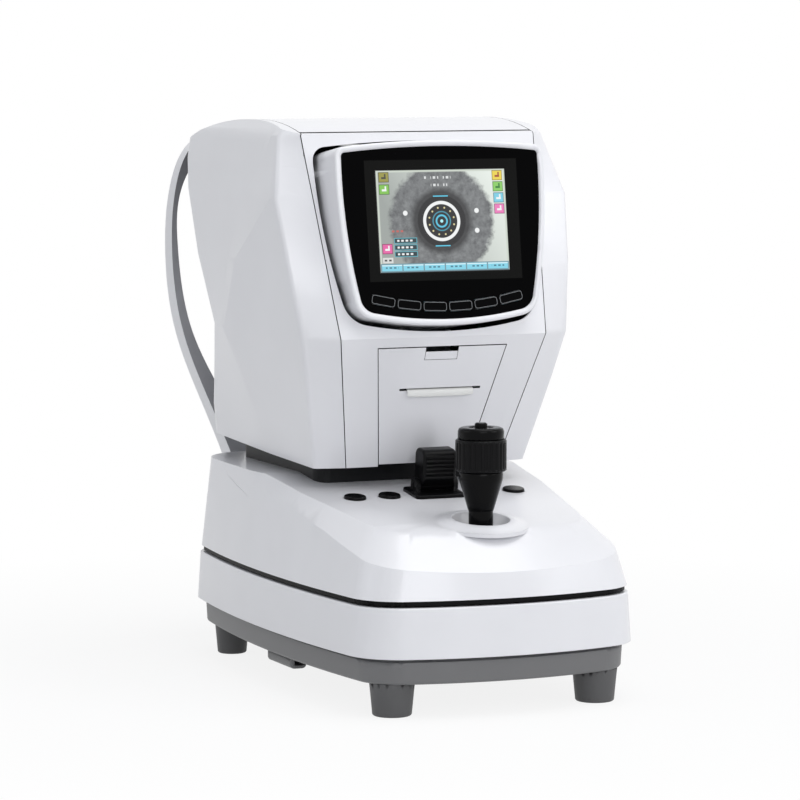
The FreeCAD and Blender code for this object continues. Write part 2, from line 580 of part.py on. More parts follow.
def power_switch():
    """Rocker of the mains switch; it tips about a pin along Z in the band's side."""
    reach = size("switch_depth")
    half_y, half_z = size("switch_width") / 2 - 0.9, size("switch_height") / 2 - 0.4
    y, z = size("switch_y"), size(BAND_MIDDLE)
    face = base_half_width - 1.6
    outline = [V(face - reach, y - 3, z - half_z), V(face - 2.6, y - half_y, z - half_z),
               V(face + 0.6, y - half_y, z - half_z), V(face - 1.0, y, z - half_z),
               V(face - 1.8, y + half_y, z - half_z), V(face - 5.0, y + half_y, z - half_z),
               V(face - reach, y + 3, z - half_z)]
    # a round hub about the pin, as deep as the rocker leaves room for
    hub = cylinder(reach / 2 - 0.2, V(face - reach / 2 - 0.9, y, z - half_z), Z_AXIS, 2 * half_z)
    feature("power_switch", prism(outline, V(0, 0, 2 * half_z)).fuse(hub).removeSplitter())


def interface_housing():
    """Narrow box under the tray with a data socket that faces the operator."""
    half_x, half_y = size("port_box_width") / 2, size("port_box_length") / 2
    x, y = -size("port_box_x"), size("port_box_y")
    low = foot_height - size("port_box_depth")
    body = rounded_box(x - half_x, x + half_x, y - half_y, y + half_y, low, foot_height, half_x * 0.6)
    body = body.makeFillet(half_x / 2, edges_where(body, lambda middle, edge: abs(middle.z - low) < 0.01))
    socket = box(x - 4.3, x + 4.3, y - half_y - 1, y - half_y + 12, foot_height - 7.2, foot_height - 1.8)
    feature("interface_housing", body.cut(socket))


# ---------------------------------------------------------------- carriage and stage plate

CARRIAGE_LOW = "cross_shaft_height - shaft_radius - bearing_wall + 2.5 - carriage_plate"


def cross_carriage():
    """Plate with bearings on the depth shafts below and blocks for the cross shafts above."""
    deck = block("carriage_deck", ("carriage_width", "carriage_length", "carriage_plate"),
                 ("-carriage_width / 2", "-carriage_length / 2", CARRIAGE_LOW))
    pieces, bores = [deck], []
    for side in (-1, 1):
        bores.append(rod("carriage_bore_y%d" % (side + 1), "shaft_radius + running_gap", "carriage_length + 20",
                         ("%d * depth_shaft_spread" % side, "-carriage_length / 2 - 10",
                          "depth_shaft_height"), Y_AXIS))
        bores.append(rod("carriage_bore_x%d" % (side + 1), "shaft_radius + running_gap / 2",
                         "carriage_width + 20",
                         ("-carriage_width / 2 - 10", "%d * cross_shaft_spread" % side,
                          "cross_shaft_height"), X_AXIS))
        for end in (-1, 1):
            tag = "%d%d" % (side + 1, end + 1)
            bearing_half = "(shaft_radius + bearing_wall)"
            pieces.append(block("carriage_bearing_" + tag,
                                ("2 * " + bearing_half, "carriage_bearing",
                                 "%s - depth_shaft_height + %s" % (CARRIAGE_LOW, bearing_half)),
                                ("%d * depth_shaft_spread - %s" % (side, bearing_half),
                                 "%d * (carriage_length / 2 - carriage_bearing / 2) - carriage_bearing / 2" % end,
                                 "depth_shaft_height - " + bearing_half)))
            pieces.append(block("carriage_block_" + tag,
                                ("shaft_block_length", "2 * (shaft_radius + 3.5)",
                                 "cross_shaft_height + shaft_radius + 2.5 - (%s)" % CARRIAGE_LOW),
                                ("%d * (carriage_width / 2 - shaft_block_length / 2) - shaft_block_length / 2"
                                 % side, "%d * cross_shaft_spread - shaft_radius - 3.5" % end, CARRIAGE_LOW)))
    item = minus("cross_carriage", joined("carriage_body", pieces), bores)
    set_place(item)
    keep(item, "cross_carriage")


def cross_shafts():
    """Two shafts that the stage glides along from side to side."""
    shafts = [rod("cross_shaft_%d" % n, "shaft_radius", "cross_shaft_length",
                  ("-cross_shaft_length / 2", "%d * cross_shaft_spread" % side, "cross_shaft_height"), X_AXIS)
              for n, side in enumerate((-1, 1))]
    item = joined("cross_shafts", shafts)
    set_place(item)
    keep(item, "cross_shafts")


cover_low = size("cover_low")
plate_low = band_high + size("stage_clearance")
stick_y, lift_y = size("stick_y"), size("lift_y")


def stage_plate():
    """Black plate over the band's opening, with four bearings that ride on the cross shafts."""
    body = Part.Face(base_plan.wire(plate_low, size("plate_inset"))).extrude(V(0, 0, cover_low - plate_low))
    half_x = size("stage_bearing") / 2
    half_y = size("shaft_radius + bearing_wall") - 1
    low = size(CARRIAGE_LOW + " + carriage_plate") + 0.6
    for x in (-size("stage_bearing_offset"), size("stage_bearing_offset")):
        for y in (-size("cross_shaft_spread"), size("cross_shaft_spread")):
            body = body.fuse(box(x - half_x, x + half_x, y - half_y, y + half_y, low, plate_low + 1))
    for y in (-size("cross_shaft_spread"), size("cross_shaft_spread")):
        body = body.cut(cylinder(size("shaft_radius + running_gap"), V(-far / 2, y, size("cross_shaft_height")),
                                 X_AXIS, far))
    journal = cylinder(size("journal_radius + running_gap"), V(0, lift_y, plate_low - 1), Z_AXIS, 20)
    feature("stage_plate", body.cut(journal).removeSplitter())


# ---------------------------------------------------------------- stage cover

deck_angle = size("deck_slope")
deck_tangent = math.tan(math.radians(deck_angle))
deck_y0, deck_z0 = size("deck_front_y"), size("deck_front_height")
deck_level_y = size("deck_level_y")


def deck_height(y):
    """Height of the deck's upper face: it climbs from the front and then runs level."""
    return deck_z0 + (min(y, deck_level_y) - deck_y0) * deck_tangent


def on_deck(shape, x, y):
    """Moves a shape drawn on a level deck at the origin to its place on the sloping deck."""
    moved = shape.copy()
    moved.rotate(V(0, 0, 0), X_AXIS, deck_angle)
    moved.translate(V(x, y, deck_height(y)))
    return moved


def cover_body(inset):
    """The stage cover as a solid: drafted walls, a wedge-shaped apron and the deck."""
    top_z = size("cover_top_height")
    side_r = size("cover_side_radius")
    top_plan = Plan((size("cover_top_half_width") - side_r, size("cover_side_centre"), side_r),
                    (0, front_radius - size("cover_top_front"), front_radius),
                    (0, size("cover_top_rear") - rear_radius, rear_radius), size("cover_top_corner"))
    walls = lofted(base_plan.wire(cover_low, size("cover_inset") + inset), top_plan.wire(top_z, inset))
    # deck: everything under the sloping and then level line
    reach = base_half_depth + 10
    deck = prism([V(-reach, -reach, cover_low - 5), V(-reach, -reach, deck_height(-reach) - inset),
                  V(-reach, deck_level_y, deck_height(deck_level_y) - inset),
                  V(-reach, reach, deck_height(reach) - inset), V(-reach, reach, cover_low - 5)],
                 V(2 * reach, 0, 0))
    # apron: side planes that lean in and flare apart towards the rear, and a bowed front
    low_z, high_z = cover_low - 5, size("apron_high_z")
    flare = size("apron_side_flare")
    lean = math.sqrt(1 + flare ** 2)
    half = base_half_width + 9

    def apron_outline(z):
        share = (z - cover_low) / (high_z - cover_low)
        middle = inset - size("apron_front_low") + share * (size("apron_front_low") - size("apron_front_high"))
        bow = size("apron_bow_low") + share * (size("apron_bow_high") - size("apron_bow_low"))
        radius = disc_radius(half, bow)
        corner = size("apron_corner_low") + share * size("apron_corner_high - apron_corner_low") - inset
        side = size("apron_side_reach") - size("apron_side_lean") * (z + inset) - inset
        # the corner's centre lies `corner` inside both the side line and the front arc
        offset, centre_y = side - corner * lean, middle + radius
        a, b = lean ** 2, 2 * (offset * flare - centre_y)
        c = offset ** 2 + centre_y ** 2 - (radius - corner) ** 2
        y = (-b - math.sqrt(b ** 2 - 4 * a * c)) / (2 * a)
        centre = V(offset + flare * y, y, z)
        on_side = centre + V(corner / lean, -corner * flare / lean, 0)
        outwards = (centre - V(0, centre_y, z)).normalize()
        on_front = centre + outwards * corner
        between = centre + ((on_side + on_front) * 0.5 - centre).normalize() * corner
        rear = V(side + flare * reach, reach, z)

        def mirrored(point):
            return V(-point.x, point.y, point.z)

        return Part.Wire([
            Part.Arc(mirrored(on_front), V(0, middle, z), on_front).toShape(),
            Part.Arc(on_front, between, on_side).toShape(), Part.LineSegment(on_side, rear).toShape(),
            Part.LineSegment(rear, mirrored(rear)).toShape(),
            Part.LineSegment(mirrored(rear), mirrored(on_side)).toShape(),
            Part.Arc(mirrored(on_side), mirrored(between), mirrored(on_front)).toShape()])

    # behind the apron each side's chamfer runs on, ever steeper, until it fades out
    def beside(station):
        y = size(station + "_chamfer_y")
        ridge, crease = (V(size("%s_%s_x" % (station, point)) - inset, y, size("%s_%s_height" % (station, point))
                           - inset / 2) for point in ("ridge", "crease"))
        above, below = ridge + (ridge - crease) * 1.5, crease + (crease - ridge) * 1.5
        return Part.makePolygon([above, below, V(far, y, below.z), V(far, y, above.z), above])

    right = lofted(*[beside(station) for station in CHAMFER])
    left = right.mirror(V(0, 0, 0), X_AXIS)
    apron = lofted(*[apron_outline(z) for z in (low_z, size("deck_front_height") - 15, high_z)])
    body = walls.common(deck).common(apron)
    return body.cut(right).cut(left)


cover_solid = cover_body(0.0)


def joystick_well():
    """Low swelling around the joystick with a wall that narrows downwards, drawn on a level deck."""
    crest, skirt, rise = size("well_radius + 1.4"), size("well_skirt"), size("well_rise")
    throat, deep = size("well_throat"), size("well_depth")
    run = (skirt - crest) / 2
    bend = (run ** 2 + (rise / 2) ** 2) / rise
    half = math.asin(run / bend) / 2
    across, up = bend * math.sin(half), bend * (1 - math.cos(half))
    lip = size("well_radius")
    places = [V(lip, 0, rise - 1.4), V(throat, 0, -deep), V(throat, 0, -deep - 1.6),
              V(throat + wall, 0, -deep - 1.6), V(lip + wall, 0, -wall), V(skirt, 0, -wall), V(skirt, 0, 0)]
    middle = V((skirt + crest) / 2, 0, rise / 2)
    edges = [Part.LineSegment(start, end).toShape() for start, end in zip(places, places[1:])]
    edges += [Part.Arc(V(skirt, 0, 0), V(skirt - across, 0, up), middle).toShape(),
              Part.Arc(middle, V(crest + across, 0, rise - up), V(crest, 0, rise)).toShape(),
              Part.Arc(V(crest, 0, rise), V(lip + 0.41, 0, rise - 0.41), V(lip, 0, rise - 1.4)).toShape()]
    return Part.Face(Part.Wire(edges)).revolve(V(0, 0, 0), Z_AXIS, 360)


def stage_cover():
    """White cover over the stage, hollow, with holes for collar, joystick, buttons and lever."""
    shell = cover_solid.cut(cover_body(wall))
    seat = size("collar_seat")
    half_x = size("collar_half_width") - seat
    shell = shell.cut(rounded_box(-half_x, half_x, size("collar_front") + seat, size("collar_rear") - seat,
                                  cover_low, 260, size("collar_corner") - seat / 2))
    mouth = cylinder(size("(well_radius + well_skirt) / 2"), V(0, 0, -far), Z_AXIS, 2 * far)
    shell = shell.cut(on_deck(mouth, 0, stick_y)).fuse(on_deck(joystick_well(), 0, stick_y))
    round_hole = cylinder(size("button_radius + button_gap"), V(0, 0, -20), Z_AXIS, 40)
    for x in BUTTON_X.values():
        shell = shell.cut(on_deck(round_hole, size(x), size("button_y")))
    feature("stage_cover", shell)


BUTTON_X = {"chin_up_button": "-button_outer_x", "chin_down_button": "-button_inner_x",
            "print_button": "button_outer_x"}


def stage_buttons():
    """Three round push buttons set square to the sloping deck."""
    radius, rise, height = size("button_radius"), size("button_rise"), size("button_height")
    for name, x in BUTTON_X.items():
        cap = cylinder(radius, V(0, 0, rise - height), Z_AXIS, height)
        crown = edges_where(cap, lambda middle, edge: abs(middle.z - rise) < 0.01)
        feature(name, on_deck(cap.makeFillet(1.2, crown), size(x), size("button_y")))


def lift_collar():
    """Dark collar on the deck that the head's floor slides over."""
    half_x, front, rear = size("collar_half_width"), size("collar_front"), size("collar_rear")
    top, thick, corner = size("collar_top"), size("collar_wall"), size("collar_corner")
    outer = rounded_box(-half_x, half_x, front, rear, cover_low, top, corner)
    inner = rounded_box(-half_x + thick, half_x - thick, front + thick, rear - thick, cover_low - 1, top + 1,
                        corner - thick)
    feature("lift_collar", outer.cut(inner).cut(cover_solid))


def guide_rods():
    """Two steel rods on the stage plate that guide the head up and down."""
    rods = [rod("guide_rod_%d" % n, "rod_radius", "rod_top - cover_low",
                ("%d * rod_spread" % side, "lift_y", "cover_low")) for n, side in enumerate((-1, 1))]
    item = joined("guide_rods", rods)
    set_place(item)
    keep(item, "guide_rods")


def lift_screw():
    """Lead screw with a journal in the stage plate and a thrust collar above it."""
    outline = [("0", "band_high + stage_clearance + 0.4"), ("journal_radius", "band_high + stage_clearance + 0.4"),
               ("journal_radius", "cover_low + fit_gap"), ("2 * lift_screw_radius", "cover_low + fit_gap"),
               ("2 * lift_screw_radius", "cover_low + 6"), ("lift_screw_radius", "cover_low + 6"),
               ("lift_screw_radius", "rod_top - 6"), ("0", "rod_top - 6")]
    turned("lift_screw", outline, ("0", "lift_y", "0"))


# ---------------------------------------------------------------- joystick

def joystick_seat():
    """Black cup on the stage plate; its wall carries the outer pins of the gimbal."""
    radius, thick, top = size("seat_radius"), size("seat_wall"), size("seat_top")
    middle = V(0, stick_y, cover_low)
    cup = cylinder(radius, middle, Z_AXIS, top - cover_low)
    cup = cup.cut(cylinder(radius - thick, middle + V(0, 0, 2), Z_AXIS, top))
    bore = cylinder(size("gimbal_pin + running_gap"), V(-far / 2, stick_y, size("gimbal_height")), X_AXIS, far)
    feature("joystick_seat", cup.cut(bore))


def gimbal_ring():
    """Ring between cup and stick: pins along X outwards and a bore along Y for the stick's pins."""
    height, thick = size("gimbal_height"), size("gimbal_thick")
    ring = cylinder(size("gimbal_outer"), V(0, stick_y, height - thick / 2), Z_AXIS, thick)
    ring = ring.cut(cylinder(size("gimbal_inner"), V(0, stick_y, height - thick), Z_AXIS, 2 * thick))
    pin_reach = size("seat_radius") - 0.6
    pin = cylinder(size("gimbal_pin"), V(-pin_reach, stick_y, height), X_AXIS, 2 * pin_reach)
    pin = pin.cut(cylinder(size("gimbal_inner") + 1, V(0, stick_y, height - thick), Z_AXIS, 2 * thick))
    bore = cylinder(size("gimbal_pin + running_gap"), V(0, stick_y - far / 2, height), Y_AXIS, far)
    feature("gimbal_ring", ring.cut(bore).fuse(pin).removeSplitter())


def joystick_stick():
    """Steel stick with a ball at the pivot and two pins along Y."""
    height, ball = size("gimbal_height"), size("ball_radius")
    low = cover_low + 5
    stick = cylinder(size("stick_radius"), V(0, stick_y, low), Z_AXIS, size("cap_high") - 8 - low)
    stick = stick.fuse(Part.makeSphere(ball, V(0, stick_y, height)))
    reach = size("gimbal_outer") - 0.6
    stick = stick.fuse(cylinder(size("gimbal_pin"), V(0, stick_y - reach, height), Y_AXIS, 2 * reach))
    feature("joystick_stick", stick)


def joystick_grip():
    """Black moulded grip: neck, cone, a hub that the ring turns on, and the cap."""
    core = "ring_radius - ring_wall - 2 * running_gap"
    bore = "stick_radius + running_gap / 2"
    outline = [(bore, "neck_low"), ("neck_radius", "neck_low"), ("neck_radius", "cone_low - 2"),
               ("cone_low_radius", "cone_low"), ("cone_high_radius", "cone_high"),
               ("cone_high_radius", "ring_low - 1.4"), ("cone_high_radius - 1.2", "ring_low - fit_gap"),
               (core, "ring_low - fit_gap"), (core, "ring_high + fit_gap"),
               ("cap_radius", "ring_high + fit_gap"), ("cap_radius", "cap_high - cap_edge"),
               ("cap_radius - 0.3 * cap_edge", "cap_high - 0.3 * cap_edge"),
               ("cap_radius - cap_edge", "cap_high"), ("cap_step_radius", "cap_high"),
               ("cap_step_radius - cap_step", "cap_high - cap_step"),
               ("trigger_radius + 2 * cap_step", "cap_high - cap_step"),
               ("trigger_radius + fit_gap", "cap_high"), ("trigger_radius + fit_gap", "cap_high - 6.2"),
               (bore, "cap_high - 6.2")]
    turned("joystick_grip", outline, ("0", "stick_y", "0"))


def joystick_ring():
    """Fluted ring around the grip that sets the height of the head."""
    low, high = size("ring_low"), size("ring_high")
    radius = size("ring_radius")
    ring = cylinder(radius, V(0, stick_y, low), Z_AXIS, high - low)
    ring = ring.makeChamfer(0.9, edges_where(ring, lambda middle, edge: abs(middle.x) + abs(middle.y - stick_y)
                                             > 1 and min(abs(middle.z - low), abs(middle.z - high)) < 0.01))
    ring = ring.cut(cylinder(size("ring_radius - ring_wall"), V(0, stick_y, low - 1), Z_AXIS, high))
    flute = size("flute_radius")
    count = int(size("ring_flutes"))
    cuts = []
    for index in range(count):
        turn = 2 * math.pi * index / count
        spot = V((radius + 0.45 * flute) * math.cos(turn), stick_y + (radius + 0.45 * flute) * math.sin(turn),
                 low + 2.2)
        cuts.append(cylinder(flute, spot, Z_AXIS, high - low - 4.4))
    feature("joystick_ring", ring.cut(Part.Compound(cuts)))


def measuring_button():
    """Small round button in the top of the grip."""
    outline = [("0", "cap_high - 4"), ("trigger_radius", "cap_high - 4"),
               ("trigger_radius", "cap_high + trigger_rise - 1"),
               ("trigger_radius - 1", "cap_high + trigger_rise"), ("0", "cap_high + trigger_rise")]
    turned("measuring_button", outline, ("0", "stick_y", "0"))


# ---------------------------------------------------------------- stage lock lever

lever_y, lever_half = size("lever_y"), size("lever_width") / 2
lever_pivot = size("lever_pivot")


def lever_flange():
    """Black foot plate on the deck with two ears for the lever's pins."""
    half_x, half_y, thick = size("flange_width") / 2, size("flange_length") / 2, size("flange_thick")
    foot = rounded_box(-half_x, half_x, -half_y, half_y, 0, thick, 4.0)
    foot = foot.makeFillet(1.0, edges_where(foot, lambda middle, edge: abs(middle.z - thick) < 0.01))
    ear_low, ear_high = lever_half + fit_gap, lever_half + fit_gap + size("ear_thick")
    bore = cylinder(size("lever_pin + running_gap"), V(-half_x, 0, lever_pivot), X_AXIS, 2 * half_x)
    for side in (-1, 1):
        start = V(ear_low if side > 0 else -ear_high, 0, lever_pivot)
        ear = cylinder(6.0, start, X_AXIS, size("ear_thick"))
        x0, x1 = sorted((side * ear_low, side * ear_high))
        ear = ear.fuse(box(x0, x1, -6.0, 6.0, thick - 0.5, lever_pivot))
        foot = foot.fuse(ear)
    feature("lever_flange", on_deck(foot.cut(bore).removeSplitter(), 0, lever_y))


def lock_lever():
    """Black lever with cross ribs; it tips towards the operator to lock the stage."""
    half_y, top, foot = size("lever_depth") / 2, size("lever_height"), size("lever_foot")

    def at(y, z):
        return V(-lever_half, y, lever_pivot + z)

    crown = 6.0
    outline = Part.Wire([
        Part.Arc(at(-foot, 0), at(0, -foot), at(foot, 0)).toShape(),
        Part.LineSegment(at(foot, 0), at(half_y, 2)).toShape(),
        Part.LineSegment(at(half_y, 2), at(half_y, top - crown)).toShape(),
        Part.Arc(at(half_y, top - crown), at(half_y - 0.3 * crown, top - 0.3 * crown),
                 at(half_y - crown, top)).toShape(),
        Part.LineSegment(at(half_y - crown, top), at(-half_y + crown, top)).toShape(),
        Part.Arc(at(-half_y + crown, top), at(-half_y + 0.3 * crown, top - 0.3 * crown),
                 at(-half_y, top - crown)).toShape(),
        Part.LineSegment(at(-half_y, top - crown), at(-half_y, 6.5)).toShape(),
        Part.LineSegment(at(-half_y, 6.5), at(-foot, 0)).toShape()])
    body = Part.Face(outline).extrude(V(2 * lever_half, 0, 0))
    corners = edges_where(body, lambda middle, edge: middle.z > lever_pivot + top - 0.1
                          and abs(abs(middle.x) - lever_half) < 0.01)
    body = body.makeFillet(2.4, corners)
    pitch, depth = size("rib_pitch"), size("rib_depth")
    for index in range(int(size("lever_ribs"))):
        z = lever_pivot + 8.5 + index * pitch
        body = body.cut(box(-lever_half + 2.5, lever_half - 2.5, -half_y - 1, -half_y + depth, z, z + pitch / 2))
    reach = lever_half + fit_gap + size("ear_thick") - 0.4
    pins = cylinder(size("lever_pin"), V(-reach, 0, lever_pivot), X_AXIS, 2 * reach)
    feature("lock_lever", on_deck(body.fuse(pins).removeSplitter(), 0, lever_y))


# ---------------------------------------------------------------- head casing

def level_value(level, point, axis):
    return size("%s_%s_%s" % (level, point, axis))


def moved_in(points, distance):
    """A closed counter-clockwise polygon with every side moved inwards."""
    result = []
    count = len(points)
    for index, (x, y) in enumerate(points):
        px, py = points[index - 1]
        nx, ny = points[(index + 1) % count]
        before, after = math.hypot(x - px, y - py), math.hypot(nx - x, ny - y)
        n1 = (-(y - py) / before, (x - px) / before)
        n2 = (-(ny - y) / after, (nx - x) / after)
        share = distance / (1 + n1[0] * n2[0] + n1[1] * n2[1])
        result.append((x + (n1[0] + n2[0]) * share, y + (n1[1] + n2[1]) * share))
    return result


def rounded_corner(before, corner, after, length):
    """Start, middle and end of the arc that replaces a corner, `length` back along both sides."""
    one, two = (before - corner).normalize(), (after - corner).normalize()
    bisector = (one + two).normalize()
    half = math.acos(max(-1.0, min(1.0, one.dot(two)))) / 2
    reach = length * (1 - math.sin(half)) / math.cos(half)
    return corner + one * length, corner + bisector * reach, corner + two * length


def head_section(level, inset):
    """Closed outline of the head at one level, front seam to rear corner and mirrored."""
    height = size(level + "_height")
    right = [(level_value(level, point, "x"), level_value(level, point, "y")) for point in POINT_NAMES]
    outline = right + [(-x, y) for x, y in reversed(right)]
    points = [V(x, y, height) for x, y in moved_in(outline, inset)]
    count = len(points)
    rounding = {1: size("corner_round"), 4: size("rear_round") - inset}
    rounding.update({count - 1 - index: length for index, length in list(rounding.items())})
    ends, edges = [], []
    for index, point in enumerate(points):
        if index in rounding:
            arc = rounded_corner(points[index - 1], point, points[(index + 1) % count], rounding[index])
            ends.append((arc[0], arc[2], arc))
        else:
            ends.append((point, point, None))
    for index, (start, end, arc) in enumerate(ends):
        if arc:
            edges.append(Part.Arc(*arc).toShape())
        edges.append(Part.LineSegment(end, ends[(index + 1) % count][0]).toShape())
    return Part.Wire(edges)


def front_y(z):
    """Depth of the lower front plane at a height; it slopes from the crease back to the hem."""
    y0, z0 = level_value("hem", "seam", "y"), size("hem_height")
    y1, z1 = level_value("crease", "seam", "y"), size("crease_height")
    return y0 + (z - z0) * (y1 - y0) / (z1 - z0)


def head_floor_z(y):
    """Height of the lower edge of the head casing, which climbs a little to the rear."""
    return size("head_floor_front") + size("head_floor_rise") * (y + 30)


def roof_line(drop):
    """The roof's curve over depth, lowered by `drop`."""
    spots = ("front", "rise", "top", "fall", "rear")
    curve = Part.BSplineCurve()
    curve.interpolate([V(-far / 4, size("roof_%s_y" % spot), size("roof_%s_z" % spot) - drop) for spot in spots])
    return curve


def head_body(inset, floor_lift=0.0):
    """The head as a solid: ruled level sections under the roof line and above the floor line."""
    solid = lofted(*[head_section(level, inset) for level in LEVELS])
    curve = roof_line(inset)
    start, end = curve.StartPoint, curve.EndPoint
    x, front, rear = -far / 4, -far / 2, end.y + 104.0
    low_front = V(x, front, head_floor_z(front) + floor_lift)
    low_rear = V(x, rear, head_floor_z(rear) + floor_lift)
    outline = Part.Wire([
        Part.LineSegment(low_front, V(x, front, start.z)).toShape(),
        Part.LineSegment(V(x, front, start.z), start).toShape(), curve.toShape(),
        Part.LineSegment(end, V(x, rear, end.z - 40)).toShape(),
        Part.LineSegment(V(x, rear, end.z - 40), low_rear).toShape(),
        Part.LineSegment(low_rear, low_front).toShape()])
    return solid.common(Part.Face(outline).extrude(V(far / 2, 0, 0)))


def level_prism(point, offset, y0, y1, top):
    """A prism along Y whose half width follows one point of the level sections."""
    right = [V(level_value(level, point, "x") + offset, y0, size(level + "_height")) for level in LEVELS]
    right = [spot for spot in right if spot.z < top - 0.5]
    names = list(LEVELS)
    index = min(len(right), len(names) - 1)
    last, following = names[index - 1], names[index]
    z0, z1 = size(last + "_height"), size(following + "_height")
    x0, x1 = level_value(last, point, "x"), level_value(following, point, "x")
    right.append(V(x0 + (x1 - x0) * (top - z0) / (z1 - z0) + offset, y0, top))
    outline = right + [V(-spot.x, spot.y, spot.z) for spot in reversed(right)]
    return prism(outline, V(0, y1 - y0, 0))


head_outer = head_body(0.0)
head_shell = head_outer.cut(head_body(wall, -20.0))
top_seam, rear_seam = size("top_seam_height"), size("rear_seam_height")
front_cut_rear = size("front_cover_rear")
rear_inset = size("rear_seam_inset")
top_half = size("head_top_half")


def door_prism(gap, low_extra=0.0):
    """The printer door's outline as a prism along Y, grown by `gap`."""
    top_half_x, low_half_x = size("door_top_half") + gap, size("door_low_half") + gap
    top, low = size("door_top") + gap, size("door_low") - gap - low_extra
    slope = (top_half_x - low_half_x) / (size("door_top") - size("door_low"))
    low_x = low_half_x - slope * (gap + low_extra)
    return prism([V(-low_x, -far, low), V(low_x, -far, low), V(top_half_x, -far, top),
                  V(-top_half_x, -far, top)], V(0, far + front_cut_rear, 0))


screen_tilt = size("screen_tilt")
screen_origin = V(0, size("screen_y"), size("screen_z"))


def in_display(shape):
    """Moves a shape drawn in the display's own frame (x, up the screen, towards the operator)."""
    moved = shape.copy()
    moved.rotate(V(0, 0, 0), X_AXIS, 90 - screen_tilt)
    moved.translate(screen_origin)
    return moved


def panel_plan():
    """Outline of the display panel: bowed top, leaning sides and a curved chin."""
    side = Part.Arc(V(size("panel_top_half"), size("panel_top"), 0), V(size("panel_mid_half"), 0, 0),
                    V(size("panel_low_half"), size("panel_low"), 0)).toShape().Curve
    top = disc_radius(size("panel_top_half"), size("panel_top_bow"))
    chin = disc_radius(size("panel_bottom_half"), size("panel_bottom_side - panel_bottom"))
    return Plan((side.Center.x, side.Center.y, side.Radius), (0, size("panel_bottom") + chin, chin),
                (0, size("panel_top + panel_top_bow") - top, top), size("panel_chin_corner"),
                size("panel_corner"))


def panel_prism(grow, low, high):
    """The panel's outline, grown outwards, as a solid in the display's own frame."""
    return Part.Face(panel_plan().wire(low, -grow)).extrude(V(0, 0, high - low))


def front_cover():
    """Front cover between the two seams, with the display opening, the door opening and pivot ears."""
    cover = head_shell.common(level_prism("seam", -seam_gap / 2, -far, front_cut_rear, top_seam))
    grow = size("rim_width + display_gap")
    cover = cover.cut(in_display(panel_prism(grow, -80, 80))).cut(door_prism(size("door_gap"), 30))
    ear_x = size("panel_mid_half + rim_width + display_gap") + 1.6
    centre_y, centre_z = size("pivot_y"), size("pivot_z")
    bore = cylinder(size("pivot_radius + running_gap"), V(-far / 2, centre_y, centre_z), X_AXIS, far)
    for side in (-1, 1):
        start = V(ear_x if side > 0 else -ear_x - 3.2, centre_y, centre_z)
        cover = cover.fuse(cylinder(size("pivot_boss"), start, X_AXIS, 3.2))
    return cover.cut(bore).removeSplitter()


def head_covers():
    """Front, top, rear and two side covers, cut from one casing along narrow seams."""
    feature("front_cover", front_cover())
    front_zone = level_prism("seam", seam_gap / 2, -far, front_cut_rear, top_seam + seam_gap)
    roof_zone = box(-top_half, top_half, -far, far, rear_seam + seam_gap, far)
    feature("top_cover", head_shell.common(roof_zone).cut(front_zone))
    rear_zone = level_prism("rear", -rear_inset, front_cut_rear + 60, far, rear_seam)
    bore = cylinder(size("tube_radius") + fit_gap, V(0, front_cut_rear, size("axis_z")), Y_AXIS, far)
    feature("rear_cover", head_shell.common(rear_zone).cut(bore))
    wide_roof = box(-top_half - seam_gap, top_half + seam_gap, -far, far, rear_seam, far)
    wide_rear = level_prism("rear", seam_gap - rear_inset, front_cut_rear + 60, far, rear_seam + seam_gap)
    sides = head_shell.cut(front_zone).cut(wide_roof).cut(wide_rear)
    for name, x0, x1 in (("left_side_cover", -far, -1), ("right_side_cover", 1, far)):
        half = sides.common(box(x0, x1, -far, far, 0, far))
        feature(name, max(half.Solids, key=lambda solid: solid.Volume))


def head_floor():
    """Floor plate inside the covers with the opening that rides over the collar."""
    slab = head_body(wall + fit_gap, 0.6).cut(head_body(wall - 1, 3.6))
    half_x = size("collar_half_width + collar_gap")
    opening = rounded_box(-half_x, half_x, size("collar_front - collar_gap"), size("collar_rear + collar_gap"),
                          0, far, size("collar_corner + collar_gap"))
    # the printer's cheeks come down in front of the collar
    door_space = box(-size("door_low_half") - 4, size("door_low_half") + 4, -far, size("collar_front") - 6.6, 0,
                     far)
    feature("head_floor", slab.cut(opening).cut(door_space))


def head_chassis():
    """Alloy plate across the head with two guide sleeves and the lift nut."""
    low, thick = size("chassis_low"), size("head_plate")
    flat = head_body(wall + fit_gap).common(box(-far, far, -far, far, low, low + thick))
    front_bay = box(-size("cheek_x") - 6, size("cheek_x") + 6, -far, size("collar_front") - 4.7, 0, far)
    body = flat.cut(front_bay)
    sleeve = size("sleeve_length")
    start_z = low + thick / 2 - sleeve / 2
    for x in (-size("rod_spread"), size("rod_spread")):
        body = body.fuse(cylinder(size("rod_radius + sleeve_wall"), V(x, lift_y, start_z), Z_AXIS, sleeve))
    body = body.fuse(cylinder(size("lift_screw_radius + sleeve_wall"), V(0, lift_y, low - 12), Z_AXIS, 30))
    for x in (-size("rod_spread"), size("rod_spread")):
        body = body.cut(cylinder(size("rod_radius + running_gap"), V(x, lift_y, 0), Z_AXIS, far))
    screw = cylinder(size("lift_screw_radius + running_gap"), V(0, lift_y, 0), Z_AXIS, far)
    feature("head_chassis", body.cut(screw).removeSplitter())


# ---------------------------------------------------------------- display

